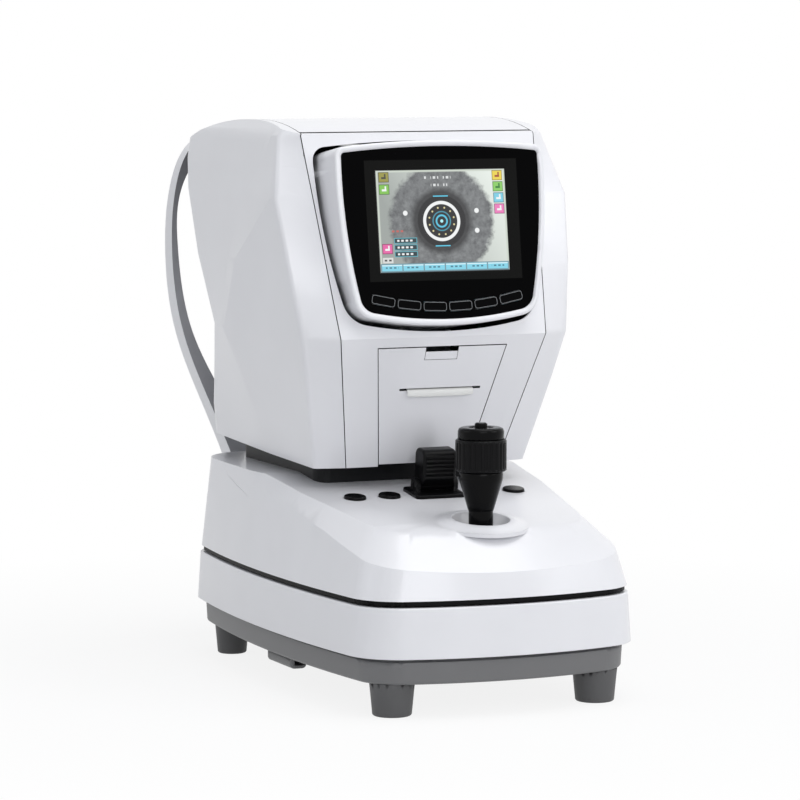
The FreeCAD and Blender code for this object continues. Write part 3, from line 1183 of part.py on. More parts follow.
def display_housing():
    """White housing with a rounded rim, a hollow back and two pivot pins."""
    rim, proud, depth = size("rim_width"), size("rim_proud"), size("display_depth")
    outer = panel_prism(rim, -depth, proud)
    outer = outer.makeFillet(size("rim_edge"), edges_where(outer, lambda middle, edge: middle.z > proud - 0.01))
    pocket = panel_prism(fit_gap / 2, -size("panel_thick"), proud + 5)
    cavity = panel_prism(-2.0, -depth + wall, 0)
    reach = size("panel_mid_half + rim_width + display_gap") + 1.6 + 2.8
    body = in_display(outer.cut(pocket).cut(cavity))
    for side in (-1, 1):
        start = V(side * (size("panel_mid_half")), size("pivot_y"), size("pivot_z"))
        body = body.fuse(cylinder(size("pivot_radius"), start, X_AXIS * side, reach - size("panel_mid_half")))
    feature("display_housing", body)


def key_place(index):
    """Centre and turn of one soft key on the curved key line."""
    x = (index - 2.5) * size("key_pitch")
    y = size("key_line") + size("key_rise") * x ** 2
    return x, y, math.degrees(math.atan(2 * size("key_rise") * x))


def key_solid(index, grow, low, high):
    half_x, half_y = size("key_width") / 2 + grow, size("key_height") / 2 + grow
    solid = rounded_box(-half_x, half_x, -half_y, half_y, low, high, size("key_corner") + grow)
    x, y, turn = key_place(index)
    solid.rotate(V(0, 0, 0), Z_AXIS, turn)
    solid.translate(V(x, y, 0))
    return solid


def display_panel():
    """Glossy black front panel with the screen window and six key pockets."""
    thick = size("panel_thick")
    body = panel_prism(0, -thick, 0)
    half_x, half_y = size("lcd_half_width") + 0.4, size("lcd_half_height") + 0.4
    body = body.cut(box(-half_x, half_x, -half_y, half_y, -thick - 1, 1))
    for index in range(6):
        body = body.cut(key_solid(index, size("key_gap"), -thick - 1, 1))
    feature("display_panel", in_display(body))


def lcd_module():
    """Screen module behind the panel; its raised glass fills the window."""
    thick, frame_width = size("panel_thick"), size("lcd_frame")
    half_x, half_y = size("lcd_half_width"), size("lcd_half_height")
    back = -thick - size("lcd_thick")
    body = box(-half_x - frame_width, half_x + frame_width, -half_y - frame_width, half_y + frame_width, back,
               -thick)
    body = body.fuse(box(-half_x, half_x, -half_y, half_y, -thick - 1, -size("lcd_recess")))
    feature("lcd_module", in_display(body.removeSplitter()))


def soft_keys():
    """Six keys on the curved line under the screen, each pressed square to the panel."""
    for index in range(6):
        high = size("key_proud")
        feature("soft_key_%d" % (index + 1), in_display(key_solid(index, 0, high - size("key_thick"), high)))


# ---------------------------------------------------------------- printer

def latch_prism(gap):
    half = size("latch_half") + gap
    return box(-half, half, -far, front_cut_rear, size("latch_low") - gap, size("latch_high"))


def printer_door():
    """Door of the printer bay: a piece of the front with a paper slot, a latch notch and hinge lugs."""
    door = head_shell.common(door_prism(0.0))
    notch = box(-size("latch_half") - 0.35, size("latch_half") + 0.35, -far, front_cut_rear,
                size("latch_low") - 0.35, size("door_top") + 5)
    x, half, z = size("slot_centre_x"), size("slot_half"), size("slot_z")
    door = door.cut(notch).cut(box(x - half, x + half, -far, front_cut_rear, z, z + size("slot_height")))
    hinge = V(0, size("hinge_y"), size("hinge_z"))
    lug = size("hinge_lug")
    face = box(-far, far, -far, size("hinge_y"), 0, far)
    for side in (-1, 1):
        x0, x1 = sorted((side * 17.0, side * 25.0))
        arm = cylinder(lug, V(x0, hinge.y, hinge.z), X_AXIS, x1 - x0)
        arm = arm.fuse(box(x0, x1, hinge.y - 14, hinge.y, hinge.z - 3, hinge.z + lug).common(face))
        door = door.fuse(arm.common(head_outer))
    bore = cylinder(size("hinge_pin + running_gap"), V(-far / 2, hinge.y, hinge.z), X_AXIS, far)
    feature("printer_door", door.cut(bore).removeSplitter())


def door_latch():
    """Small tab in the door's top edge, pressed inwards to let the door go."""
    skin = head_outer.cut(head_body(size("latch_thick")))
    feature("door_latch", skin.common(latch_prism(0.0)))


def printer_frame():
    """Printer frame on the head chassis: two cheeks, a floor and the door's hinge pin."""
    inner, outer = size("cheek_x"), size("cheek_x + cheek_thick")
    top = size("chassis_low + head_plate")
    low, roll_top = size("hinge_z") - 5.5, size("roll_z") + 9
    # below the hinge the cheeks step back, so the opening door's lower edge swings clear of them
    relief = 0.55 * (size("hinge_z") - low)
    rear = size("collar_front") - 7
    body = box(-outer - 10, outer + 10, rear + 2.6, 10, top, top + 3)
    for side in (-1, 1):
        x0, x1 = sorted((side * inner, side * outer))
        cheek = prism([V(x0, front_y(size("hinge_z")) + wall + 1, size("hinge_z")),
                       V(x0, front_y(low) + wall + 1 + relief, low), V(x0, rear, low), V(x0, rear, top), V(x0, 10, top),
                       V(x0, 10, roll_top), V(x0, -40, roll_top), V(x0, front_y(245) + wall + 1, 245)],
                      V(x1 - x0, 0, 0))
        body = body.fuse(cheek)
    for y, z, radius in (("roll_y", "roll_z", "roll_spindle"), ("platen_y", "platen_z", "platen_spindle")):
        bore = cylinder(size(radius + " + running_gap"), V(-far / 2, size(y), size(z)), X_AXIS, far)
        body = body.cut(bore)
    pin = cylinder(size("hinge_pin"), V(-outer, size("hinge_y"), size("hinge_z")), X_AXIS, 2 * outer)
    feature("printer_frame", body.fuse(pin).removeSplitter())


def printer_rolls():
    """Paper roll and platen roller, each turning in the cheeks."""
    outer = size("cheek_x + cheek_thick") - 0.4
    for name, half, radius, spindle, y, z in (
            ("paper_roll", "roll_half", "roll_radius", "roll_spindle", "roll_y", "roll_z"),
            ("platen_roller", "roll_half + 1.5", "platen_radius", "platen_spindle", "platen_y", "platen_z")):
        drum = rod(name + "_drum", radius, "2 * (%s)" % half, ("-(%s)" % half, y, z), X_AXIS)
        core = rod(name + "_core", spindle, "2 * (cheek_x + cheek_thick - 0.4)",
                   ("-(cheek_x + cheek_thick - 0.4)", y, z), X_AXIS)
        item = joined(name, [drum, core])
        set_place(item)
        keep(item, name)


# ---------------------------------------------------------------- optics and electronics

def objective_tube():
    """Lens tube on the optical axis, through the rear cover towards the patient."""
    radius, thick = size("tube_radius"), size("tube_wall")
    front, rear, z = size("tube_front"), size("tube_rear"), size("axis_z")
    tube = cylinder(radius, V(0, front, z), Y_AXIS, rear - front)
    tube = tube.makeChamfer(1.5, edges_where(tube, lambda middle, edge: abs(middle.y - rear) < 0.01
                                             and edge.Length < 10 * radius))
    bore = cylinder(radius - thick, V(0, front - 1, z), Y_AXIS, rear)
    feature("objective_tube", tube.cut(bore))


def measuring_window():
    """Glass window set back in the mouth of the tube."""
    glass = rod("measuring_window", "tube_radius - tube_wall - running_gap", "window_thick",
                ("0", "0", "0"), Y_AXIS)
    set_place(glass, "0", "tube_rear - window_recess - window_thick", "axis_z")
    keep(glass, "measuring_window")


def optics_bench():
    """Bench on two legs with the camera housing and the rail of the focusing carriage."""
    low, thick, half = size("bench_low"), size("bench_plate"), size("bench_half")
    front, rear, leg = size("bench_front"), size("bench_rear"), size("bench_leg")
    plate_top = size("chassis_low + head_plate")
    body = box(-half, half, front, rear, low, low + thick)
    for side in (-1, 1):
        x0, x1 = sorted((side * half, side * (half - leg)))
        body = body.fuse(box(x0, x1, front, rear, plate_top, low + thick))
    camera = size("camera_half")
    body = body.fuse(box(-camera, camera, size("camera_front"), size("tube_front"), low, size("camera_top")))
    yoke = box(-camera, camera, size("tube_front"), size("tube_front") + 18, low, size("axis_z"))
    ring = cylinder(size("tube_radius + running_gap / 2"), V(0, size("tube_front"), size("axis_z")), Y_AXIS, far)
    body = body.fuse(yoke.cut(ring))
    rail = size("rail_width") / 2
    body = body.fuse(box(-rail, rail, size("camera_front"), size("tube_front"), size("camera_top"),
                         size("camera_top + rail_height")))
    feature("optics_bench", body.removeSplitter())


def focus_carriage():
    """Carriage with the target lens; it slides along the rail on top of the camera housing."""
    middle_y = size("(camera_front + tube_front) / 2")
    half_x, half_y, gap = size("focus_width") / 2, size("focus_length") / 2, size("running_gap")
    low = size("camera_top") + fit_gap
    body = box(-half_x, half_x, middle_y - half_y, middle_y + half_y, low, low + size("focus_height"))
    rail = size("rail_width") / 2 + gap
    body = body.cut(box(-rail, rail, 0, far, 0, size("camera_top + rail_height") + gap))
    lens = cylinder(size("focus_height") / 2, V(0, middle_y - 2, low + size("focus_height")), Y_AXIS, 4)
    feature("focus_carriage", body.fuse(lens).removeSplitter())


def main_board():
    """Circuit board that stands on the chassis beside the optics, with its larger parts."""
    x, thick = size("board_x"), size("board_thick")
    low = size("chassis_low + head_plate")
    front, length, height = size("board_front"), size("board_length"), size("board_height")
    body = box(x, x + thick, front, front + length, low, low + height)
    parts = ((0.12, 0.2, 0.22, 0.3, 3), (0.45, 0.25, 0.18, 0.22, 3), (0.72, 0.5, 0.2, 0.16, 5),
             (0.15, 0.68, 0.5, 0.1, 7))
    for along, up, wide, tall, deep in parts:
        y0, z0 = front + along * length, low + up * height
        body = body.fuse(box(x - deep, x + thick / 2, y0, y0 + wide * length, z0, z0 + tall * height))
    feature("main_board", body)


# ---------------------------------------------------------------- face rest

def chin_column():
    """White column behind the base; its bore guides the chin post."""
    half, front, rear = size("column_half"), size("column_front"), size("column_rear")
    top, corner = size("column_top"), size("column_corner")
    body = rounded_box(-half, half, front, rear, foot_height, top, corner)
    foot = box(-half, half, base_half_depth - wall, front + corner, foot_height, band_high)
    body = body.fuse(foot)
    # the base's rear wall is bowed, so the foot is trimmed to it
    body = body.cut(Part.Face(base_plan.wire(foot_height - 1, -fit_gap)).extrude(V(0, 0, band_high)))
    post = V(0, size("post_y"), 0)
    body = body.cut(cylinder(size("post_radius + running_gap"), post + V(0, 0, size("chin_screw_low")), Z_AXIS,
                             far))
    body = body.cut(cylinder(size("journal_radius"), post + V(0, 0, foot_height + 8), Z_AXIS, 60))
    feature("chin_column", body.removeSplitter())


def arch_curve(points):
    curve = Part.BSplineCurve()
    curve.interpolate(points)
    return curve.toShape()


def arch_body():
    """Arch around the patient's face, wide and deep at its feet and slim at eye level."""
    half, foot_half, crown_half = size("arch_half"), size("arch_foot_half"), size("arch_crown_half")
    foot_z, wide_z = size("arch_foot_z"), size("arch_wide_z")
    crown_z, top = size("arch_crown_z"), size("arch_top")
    slim, broad, bar = size("arch_side_width"), size("arch_foot_width"), size("arch_bar")
    start_y = size("rest_front") - 10

    def spots(side, inward):
        outer = [(foot_half, foot_z), (foot_half + 0.45 * (half - foot_half), foot_z + 0.33 * (wide_z - foot_z)),
                 (half - 9.5, wide_z - 73), (half, wide_z), (half - 3.4, wide_z + 48), (crown_half, crown_z)]
        width = [broad, 0.78 * broad, 0.42 * broad, slim, slim, bar * 0.9]
        drop = [0, 0, 0, 0, 0, bar * 0.55]
        return [V(side * (x - inward * w), start_y, z - inward * d) for (x, z), w, d in zip(outer, width, drop)]

    outer_left, outer_right = spots(-1, 0), spots(1, 0)
    inner_left, inner_right = spots(-1, 1), spots(1, 1)
    crown = V(0, start_y, top)
    under = V(0, start_y, top - bar)
    outer = arch_curve(outer_left + [V(-crown_half * 0.6, start_y, top - 2.2), crown,
                                     V(crown_half * 0.6, start_y, top - 2.2)] + outer_right[::-1])
    inner = arch_curve(inner_right + [V(crown_half * 0.55, start_y, top - bar - 3), under,
                                      V(-crown_half * 0.55, start_y, top - bar - 3)] + inner_left[::-1])
    outline = Part.Wire([outer, Part.LineSegment(outer_right[0], inner_right[0]).toShape(), inner,
                         Part.LineSegment(inner_left[0], outer_left[0]).toShape()])
    band = Part.Face(outline).extrude(V(0, 60, 0))
    front, low_depth, high_depth = size("rest_front"), size("rest_low_depth"), size("rest_high_depth")
    side_view = prism([V(-far / 2, front, foot_z), V(-far / 2, front, top + 5),
                       V(-far / 2, front + high_depth, top + 5), V(-far / 2, front + low_depth, foot_z)],
                      V(far, 0, 0))
    body = band.common(side_view)
    half_c, corner = size("column_half"), size("column_corner")
    block_below = rounded_box(-half_c, half_c, size("column_front"), size("column_rear"), foot_height,
                              size("column_top"), corner)
    return body.cut(block_below)


arch_solid = arch_body()


def face_arch():
    """White arch that stands on the column."""
    feature("face_arch", arch_solid)


def forehead_pad():
    """Soft pad on the patient's side of the arch's top bar, cut to the bar's leaning face."""
    half, low, high = size("pad_half"), size("pad_low"), size("pad_high")
    y0, depth = size("rest_front + rest_high_depth") - 1, size("pad_depth")
    outline = Part.Wire([
        Part.Arc(V(-half, y0 + depth * 1.5, low), V(0, y0 + depth, low), V(half, y0 + depth * 1.5, low)).toShape(),
        Part.LineSegment(V(half, y0 + depth * 1.5, low), V(half - 2, y0, low)).toShape(),
        Part.LineSegment(V(half - 2, y0, low), V(-half + 2, y0, low)).toShape(),
        Part.LineSegment(V(-half + 2, y0, low), V(-half, y0 + depth * 1.5, low)).toShape()])
    body = Part.Face(outline).extrude(V(0, 0, high - low))
    soft = edges_where(body, lambda middle, edge: middle.y > y0 + 2 and abs(middle.x) < half - 2.2)
    feature("forehead_pad", body.makeFillet(3.0, soft).cut(arch_solid))


def chin_parts():
    """Chin post, its lift screw and the cup that the chin rests in."""
    turned("chin_post", [("post_bore", "post_low"), ("post_radius", "post_low"), ("post_radius", "post_top"),
                         ("0", "post_top"), ("0", "chin_screw_top + chin_down + 4"),
                         ("post_bore", "chin_screw_top + chin_down + 4")], ("0", "post_y", "0"))
    turned("chin_screw", [("0", "foot_height + 10"), ("journal_radius - running_gap", "foot_height + 10"),
                          ("journal_radius - running_gap", "chin_screw_low + fit_gap"),
                          ("post_radius - 2", "chin_screw_low + fit_gap"), ("post_radius - 2", "chin_screw_low + 5"),
                          ("post_bore - running_gap", "chin_screw_low + 5"),
                          ("post_bore - running_gap", "chin_screw_top"),
                          ("0", "chin_screw_top")], ("0", "post_y", "0"))
    half, front, rear, top = size("cup_half"), size("cup_front"), size("cup_rear"), size("cup_top")
    low = size("post_top")
    body = rounded_box(-half, half, front, rear, low, top, 12.0)
    body = body.makeFillet(2.0, edges_where(body, lambda middle, edge: abs(middle.z - low) < 0.01))
    # the hollow is a cylinder along Y, so the chin lies in a shallow trough
    dip = size("cup_dip")
    trough = disc_radius(half - 5, dip)
    body = body.cut(cylinder(trough, V(0, front + 6, top + trough - dip), Y_AXIS, rear))
    feature("chin_cup", body)


# ---------------------------------------------------------------- build, check and export

for make in (base_tray, base_cover, feet, base_chassis, depth_shafts, shaft_blocks, power_supply, power_inlet,
             power_switch, interface_housing, cross_carriage, cross_shafts, stage_plate, stage_cover,
             stage_buttons, lift_collar, guide_rods, lift_screw, joystick_seat, gimbal_ring, joystick_stick,
             joystick_grip, joystick_ring, measuring_button, lever_flange, lock_lever, head_covers, head_floor,
             head_chassis, display_housing, display_panel, lcd_module, soft_keys, printer_door, door_latch,
             printer_frame, printer_rolls, objective_tube, measuring_window, optics_bench, focus_carriage,
             main_board, chin_column, face_arch, forehead_pad, chin_parts):
    make()
doc.recompute()

faults = []
for item in doc.Objects:
    if "Invalid" in item.State or "Error" in item.State:
        faults.append("%s is in state %s" % (item.Label, item.State))
for item in NODES:
    if item.Shape.isNull() or not item.Shape.isValid() or not item.Shape.Solids:
        faults.append("%s has no valid solid" % item.Label)
if faults:
    sys.exit("\n".join(faults))

os.makedirs("parts", exist_ok=True)
for item in NODES:
    item.Shape.exportStep("parts/%s.step" % item.Label)
    extent = item.Shape.optimalBoundingBox(False, False)
    print("%-18s %d solids  x %7.1f %7.1f  y %7.1f %7.1f  z %6.1f %6.1f" % (
        item.Label, len(item.Shape.Solids), extent.XMin, extent.XMax, extent.YMin, extent.YMax, extent.ZMin,
        extent.ZMax))
print(len(NODES), "parts written")
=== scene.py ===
"""Studio scene of a table-top autorefractor: finishes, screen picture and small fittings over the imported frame."""
import json
import math

import bmesh
import bpy
from mathutils import Matrix, Vector
from mathutils.bvhtree import BVHTree


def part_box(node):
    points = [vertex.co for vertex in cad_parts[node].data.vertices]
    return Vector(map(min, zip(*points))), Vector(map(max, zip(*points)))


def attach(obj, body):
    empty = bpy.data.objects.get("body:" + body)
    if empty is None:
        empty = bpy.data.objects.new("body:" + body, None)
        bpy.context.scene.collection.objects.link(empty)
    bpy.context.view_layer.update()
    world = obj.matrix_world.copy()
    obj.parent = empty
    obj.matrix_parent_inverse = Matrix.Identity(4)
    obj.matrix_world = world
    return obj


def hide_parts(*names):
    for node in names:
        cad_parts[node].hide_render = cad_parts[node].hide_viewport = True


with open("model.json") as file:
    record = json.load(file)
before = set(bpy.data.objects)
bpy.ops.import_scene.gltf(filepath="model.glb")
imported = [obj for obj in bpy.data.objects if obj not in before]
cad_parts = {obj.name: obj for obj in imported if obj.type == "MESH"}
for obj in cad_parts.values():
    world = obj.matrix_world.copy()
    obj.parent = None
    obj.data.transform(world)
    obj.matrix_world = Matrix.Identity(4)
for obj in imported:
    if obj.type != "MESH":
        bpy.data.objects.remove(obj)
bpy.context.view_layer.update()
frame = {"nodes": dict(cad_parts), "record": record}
MM = 0.001
scene = bpy.context.scene


# ------------------------------------------------------------------ places, in metres, read from the frame

PANEL_TILT = math.radians(8.1)      # lean of the display panel from upright
PANEL_CROWN, PANEL_CHIN = 59.8 * MM, 79.3 * MM      # from the screen's middle to the panel's top and foot
DECK_TILT = math.radians(7.6)       # climb of the stage cover's deck
FRONT_LEAN = math.atan(0.4209)      # undercut of the head's lower front

panel_low, panel_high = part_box("display_panel")
panel_origin = Vector((0, panel_low.y + PANEL_CHIN * math.sin(PANEL_TILT),
                       panel_high.z - PANEL_CROWN * math.cos(PANEL_TILT)))
PANEL_UP = Vector((0, math.sin(PANEL_TILT), math.cos(PANEL_TILT)))
PANEL_OUT = Vector((0, -math.cos(PANEL_TILT), math.sin(PANEL_TILT)))
DECK_OUT = Vector((0, -math.sin(DECK_TILT), math.cos(DECK_TILT)))
DECK_UP = Vector((0, math.cos(DECK_TILT), math.sin(DECK_TILT)))


def facing(origin, up, out):
    """A matrix whose X runs across, Y runs up a face and Z stands out of it."""
    across = up.cross(out).normalized()
    return Matrix.Translation(origin) @ Matrix((across, up, out)).transposed().to_4x4()


def middle(node):
    """The middle of a node's box."""
    low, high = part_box(node)
    return (low + high) / 2


# ------------------------------------------------------------------ camera, floor and lights

def set_camera():
    """A long lens at the operator's left, a little above the deck."""
    data = bpy.data.cameras.new("camera")
    data.sensor_width, data.lens, data.clip_end = 36.0, 181.99, 30.0
    camera = bpy.data.objects.new("camera", data)
    scene.collection.objects.link(camera)
    turn, dip = math.radians(-23.02), math.radians(5.47)
    camera.location = (-1.29915, -3.07844, 0.54473)
    back = Vector((math.sin(turn) * math.cos(dip), -math.cos(turn) * math.cos(dip), math.sin(dip)))
    camera.rotation_euler = (-back).to_track_quat("-Z", "Y").to_euler()
    scene.camera = camera


def softbox(name, place, aim, width, height, power, colour=(1, 1, 1)):
    """A rectangular studio lamp that points at a spot."""
    data = bpy.data.lights.new(name, "AREA")
    data.shape, data.size, data.size_y, data.energy, data.color = "RECTANGLE", width, height, power, colour
    lamp = bpy.data.objects.new(name, data)
    scene.collection.objects.link(lamp)
    lamp.location = place
    lamp.rotation_euler = (Vector(aim) - Vector(place)).to_track_quat("-Z", "Y").to_euler()


def set_lights():
    aim = (0, 0, 0.25)
    softbox("key_softbox", (2.0, -1.9, 1.5), aim, 1.5, 1.3, 16.0)
    softbox("top_softbox", (0.3, -0.5, 2.2), aim, 1.8, 1.6, 24.0)
    softbox("front_fill", (-0.5, -2.8, 1.2), aim, 1.6, 1.0, 17.0, (0.97, 0.98, 1.0))
    softbox("side_fill", (-2.2, 0.4, 1.3), aim, 1.4, 1.2, 5.0, (0.95, 0.97, 1.0))


# ------------------------------------------------------------------ shader maths

class Value:
    """One output of a material's nodes; arithmetic on it adds Math nodes."""

    def __init__(self, paint, socket):
        self.paint, self.socket = paint, socket

    def maths(self, operation, *values, clamp=False):
        return self.paint.add("ShaderNodeMath", {"operation": operation, "use_clamp": clamp}, (self, *values))

    def __add__(self, other):
        return self.maths("ADD", other)

    __radd__ = __add__

    def __sub__(self, other):
        return self.maths("SUBTRACT", other)

    def __rsub__(self, other):
        return self.paint.add("ShaderNodeMath", {"operation": "SUBTRACT"}, (other, self))

    def __mul__(self, other):
        return self.maths("MULTIPLY", other)

    __rmul__ = __mul__

    def __truediv__(self, other):
        return self.maths("DIVIDE", other)

    def __neg__(self):
        return self * -1

    def __abs__(self):
        return self.maths("ABSOLUTE")

    def least(self, other):
        return self.maths("MINIMUM", other)

    def most(self, other):
        return self.maths("MAXIMUM", other)

    def root(self):
        return self.maths("SQRT")

    def step(self, sharp):
        """0 below zero and 1 above, with a narrow ramp between."""
        return (self * sharp).maths("ADD", 0.5, clamp=True)


class Paint:
    """A material under construction, with one method that adds any node."""

    def __init__(self, name, slot):
        self.material = bpy.data.materials.new(name)
        self.material.use_nodes = True
        self.material["slot"] = slot
        self.tree = self.material.node_tree
        self.tree.nodes.clear()
        place = self.add("ShaderNodeTexCoord", {}, (), "Object")
        self.mm = self.add("ShaderNodeVectorMath", {"operation": "SCALE"}, {"Vector": place, "Scale": 1000.0},
                           "Vector")
        self.shader = None

    def add(self, kind, settings, values, output=0):
        """Adds a node, sets it, then fills its sockets by order or by name; returns one output."""
        node = self.tree.nodes.new(kind)
        for key, setting in settings.items():
            if key == "stops":
                while len(node.color_ramp.elements) < len(setting):
                    node.color_ramp.elements.new(0.5)
                for element, (position, colour) in zip(node.color_ramp.elements, setting):
                    element.position, element.color = position, (*colour, 1)
            else:
                setattr(node, key, setting)
        pairs = values.items() if isinstance(values, dict) else enumerate(values)
        for key, value in pairs:
            if isinstance(value, Value):
                self.tree.links.new(value.socket, node.inputs[key])
            elif isinstance(value, tuple) and node.inputs[key].type == "RGBA":
                node.inputs[key].default_value = (*value, 1)
            else:
                node.inputs[key].default_value = value
        return Value(self, node.outputs[output])

    def split(self, vector):
        node = self.tree.nodes.new("ShaderNodeSeparateXYZ")
        self.tree.links.new(vector.socket, node.inputs[0])
        return [Value(self, output) for output in node.outputs]

    def noise(self, size_mm, detail=2.0, vector=None, roughness=0.5):
        """Smooth noise from 0 to 1 whose blotches are about `size_mm` across."""
        return self.add("ShaderNodeTexNoise", {}, {"Vector": vector or self.mm, "Scale": 1.0 / size_mm,
                                                   "Detail": detail, "Roughness": roughness}, "Fac")

    def mix(self, share, first, second):
        """Blends two colours."""
        node = self.tree.nodes.new("ShaderNodeMix")
        node.data_type = "RGBA"
        for key, value in ((0, share), (6, first), (7, second)):
            if isinstance(value, Value):
                self.tree.links.new(value.socket, node.inputs[key])
            else:
                node.inputs[key].default_value = (*value, 1) if isinstance(value, tuple) else value
        return Value(self, node.outputs[2])

    def edge_round(self, radius_mm):
        """The surface normal with edges rounded off, and a mask of where they are."""
        round_normal = self.add("ShaderNodeBevel", {"samples": 4}, {"Radius": radius_mm * MM})
        flat = self.add("ShaderNodeNewGeometry", {}, (), "Normal")
        dot = self.add("ShaderNodeVectorMath", {"operation": "DOT_PRODUCT"}, (round_normal, flat), "Value")
        return round_normal, (1 - dot).maths("MULTIPLY", 6.0, clamp=True)

    def bump(self, height, depth_mm, normal=None):
        values = {"Height": height, "Distance": depth_mm * MM, "Strength": 1.0}
        if normal:
            values["Normal"] = normal
        return self.add("ShaderNodeBump", {}, values)

    def finish(self, **sockets):
        """Ends the material in a Principled shader."""
        names = {key.replace("_", " "): value for key, value in sockets.items()}
        self.shader = self.add("ShaderNodeBsdfPrincipled", {}, names)
        self.add_output(self.shader)
        return self.material

    def add_output(self, shader):
        output = self.tree.nodes.new("ShaderNodeOutputMaterial")
        self.tree.links.new(shader.socket, output.inputs["Surface"])


def scaled(colour, share):
    return tuple(min(1.0, part * share) for part in colour)


def moulded(name, slot, colour, gloss=0.35, grain=0.6, depth=0.004, edge=0.5, coat=0.0, wear=0.0, shine=0.5,
            paint_seam_shade=False):
    """Moulded plastic or rubber: faint cloudiness, a fine grain, rounded edges, slightly worn corners and, where
    asked, painted shade on faces that look at another cover.
    """
    paint = Paint(name, slot)
    cloud = paint.noise(60.0, 2.0)
    speck = paint.noise(grain, 3.0)
    round_normal, edges = paint.edge_round(edge)
    base = paint.mix(cloud, scaled(colour, 0.965), scaled(colour, 1.035))
    # painted shade: faces marked as looking at another cover (seam walls, opening edges, insides) turn near black
    if paint_seam_shade:
        lining = paint.add("ShaderNodeAttribute", {"attribute_name": "lining"}, {}, "Fac")
        base = paint.mix(lining, base, (0.006, 0.006, 0.0065))
    if wear:
        rub = (edges * (paint.noise(4.0, 4.0) + 0.35)).maths("MULTIPLY", wear, clamp=True)
        base = paint.mix(rub, base, scaled(tuple(part + 0.05 for part in colour), 1.6))
    rough = gloss + (cloud - 0.5) * 0.06 + (speck - 0.5) * 0.05
    return paint.finish(Base_Color=base, Roughness=rough, Normal=paint.bump(speck, depth, round_normal),
                        Coat_Weight=coat, Coat_Roughness=0.08, IOR=1.5, Specular_IOR_Level=shine)


def metal(name, slot, colour, gloss=0.3, along=(1.0, 1.0, 1.0), depth=0.004):
    """Machined or drawn metal with fine lines; `along` stretches the lines."""
    paint = Paint(name, slot)
    stretched = paint.add("ShaderNodeVectorMath", {"operation": "MULTIPLY"}, (paint.mm, along), "Vector")
    lines = paint.noise(0.7, 3.0, stretched)
    cloud = paint.noise(25.0, 2.0)
    base = paint.mix(cloud, scaled(colour, 0.9), scaled(colour, 1.05))
    rough = gloss + (lines - 0.5) * 0.16 + (cloud - 0.5) * 0.08
    round_normal, _ = paint.edge_round(0.35)
    return paint.finish(Base_Color=base, Metallic=1.0, Roughness=rough,
                        Normal=paint.bump(lines, depth, round_normal))


def powder_coat(name, slot, colour):
    """Baked powder paint with a faint orange peel."""
    paint = Paint(name, slot)
    peel = paint.noise(1.1, 2.0)
    round_normal, _ = paint.edge_round(0.4)
    base = paint.mix(paint.noise(30.0), scaled(colour, 0.9), scaled(colour, 1.2))
    return paint.finish(Base_Color=base, Roughness=0.48 + (peel - 0.5) * 0.2, Specular_IOR_Level=0.08,
                        Normal=paint.bump(peel, 0.02, round_normal))


def circuit_board(name, slot):
    """Green solder mask with a faint grid of tracks and dark parts standing off it."""
    paint = Paint(name, slot)
    x, y, z = paint.split(paint.mm)
    tracks = (y.maths("PINGPONG", 2.0) - 1.6).step(4.0).most((z.maths("PINGPONG", 3.0) - 2.6).step(4.0))
    board = paint.mix(tracks * 0.6, (0.01, 0.10, 0.04), (0.04, 0.24, 0.10))
    raised = (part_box("main_board")[1].x * 1000 - 2.2 - x).step(4.0)
    return paint.finish(Base_Color=paint.mix(raised, board, (0.02, 0.02, 0.022)), Roughness=0.4,
                        Normal=paint.bump(tracks, 0.03))


def arch_with_painted_shade(name, slot):
    """White arch whose broad face towards the operator has painted shade: a cool grey, darker higher up."""
    paint = Paint(name, slot)
    cloud, speck = paint.noise(60.0), paint.noise(0.6, 3.0)
    _, ny, _ = paint.split(paint.add("ShaderNodeNewGeometry", {}, (), "Normal"))
    _, _, z = paint.split(paint.mm)
    # painted shade on the face towards the operator, deepening higher up
    front = (-ny - 0.7).step(12.0)
    fade = ((z - 300.0) / 150.0).maths("MULTIPLY", 1.0, clamp=True)
    shade = paint.mix(fade, (0.33, 0.33, 0.345), (0.055, 0.055, 0.06))
    white = paint.mix(cloud, (0.76, 0.76, 0.78), (0.80, 0.80, 0.82))
    round_normal, _ = paint.edge_round(0.5)
    return paint.finish(Base_Color=paint.mix(front, white, shade), Roughness=0.36 + (speck - 0.5) * 0.05,
                        Normal=paint.bump(speck, 0.004, round_normal))


# ------------------------------------------------------------------ the screen

CYAN, WHITE = (0.10, 0.62, 0.85), (0.90, 0.92, 0.92)


def panel_place(paint):
    """Distances in millimetres across and up the panel from the screen's middle."""
    x, y, z = paint.split(paint.mm)
    up = ((y - panel_origin.y * 1000) * math.sin(PANEL_TILT)
          + (z - panel_origin.z * 1000) * math.cos(PANEL_TILT))
    return x, up


def bar(x, up, centre, size):
    """Mask of a rectangle."""
    across = size[0] / 2 - abs(x - centre[0])
    return across.least(size[1] / 2 - abs(up - centre[1])).step(6.0)


def distance_from(x, up, centre):
    dx, dy = x - centre[0], up - centre[1]
    return (dx * dx + dy * dy).root()


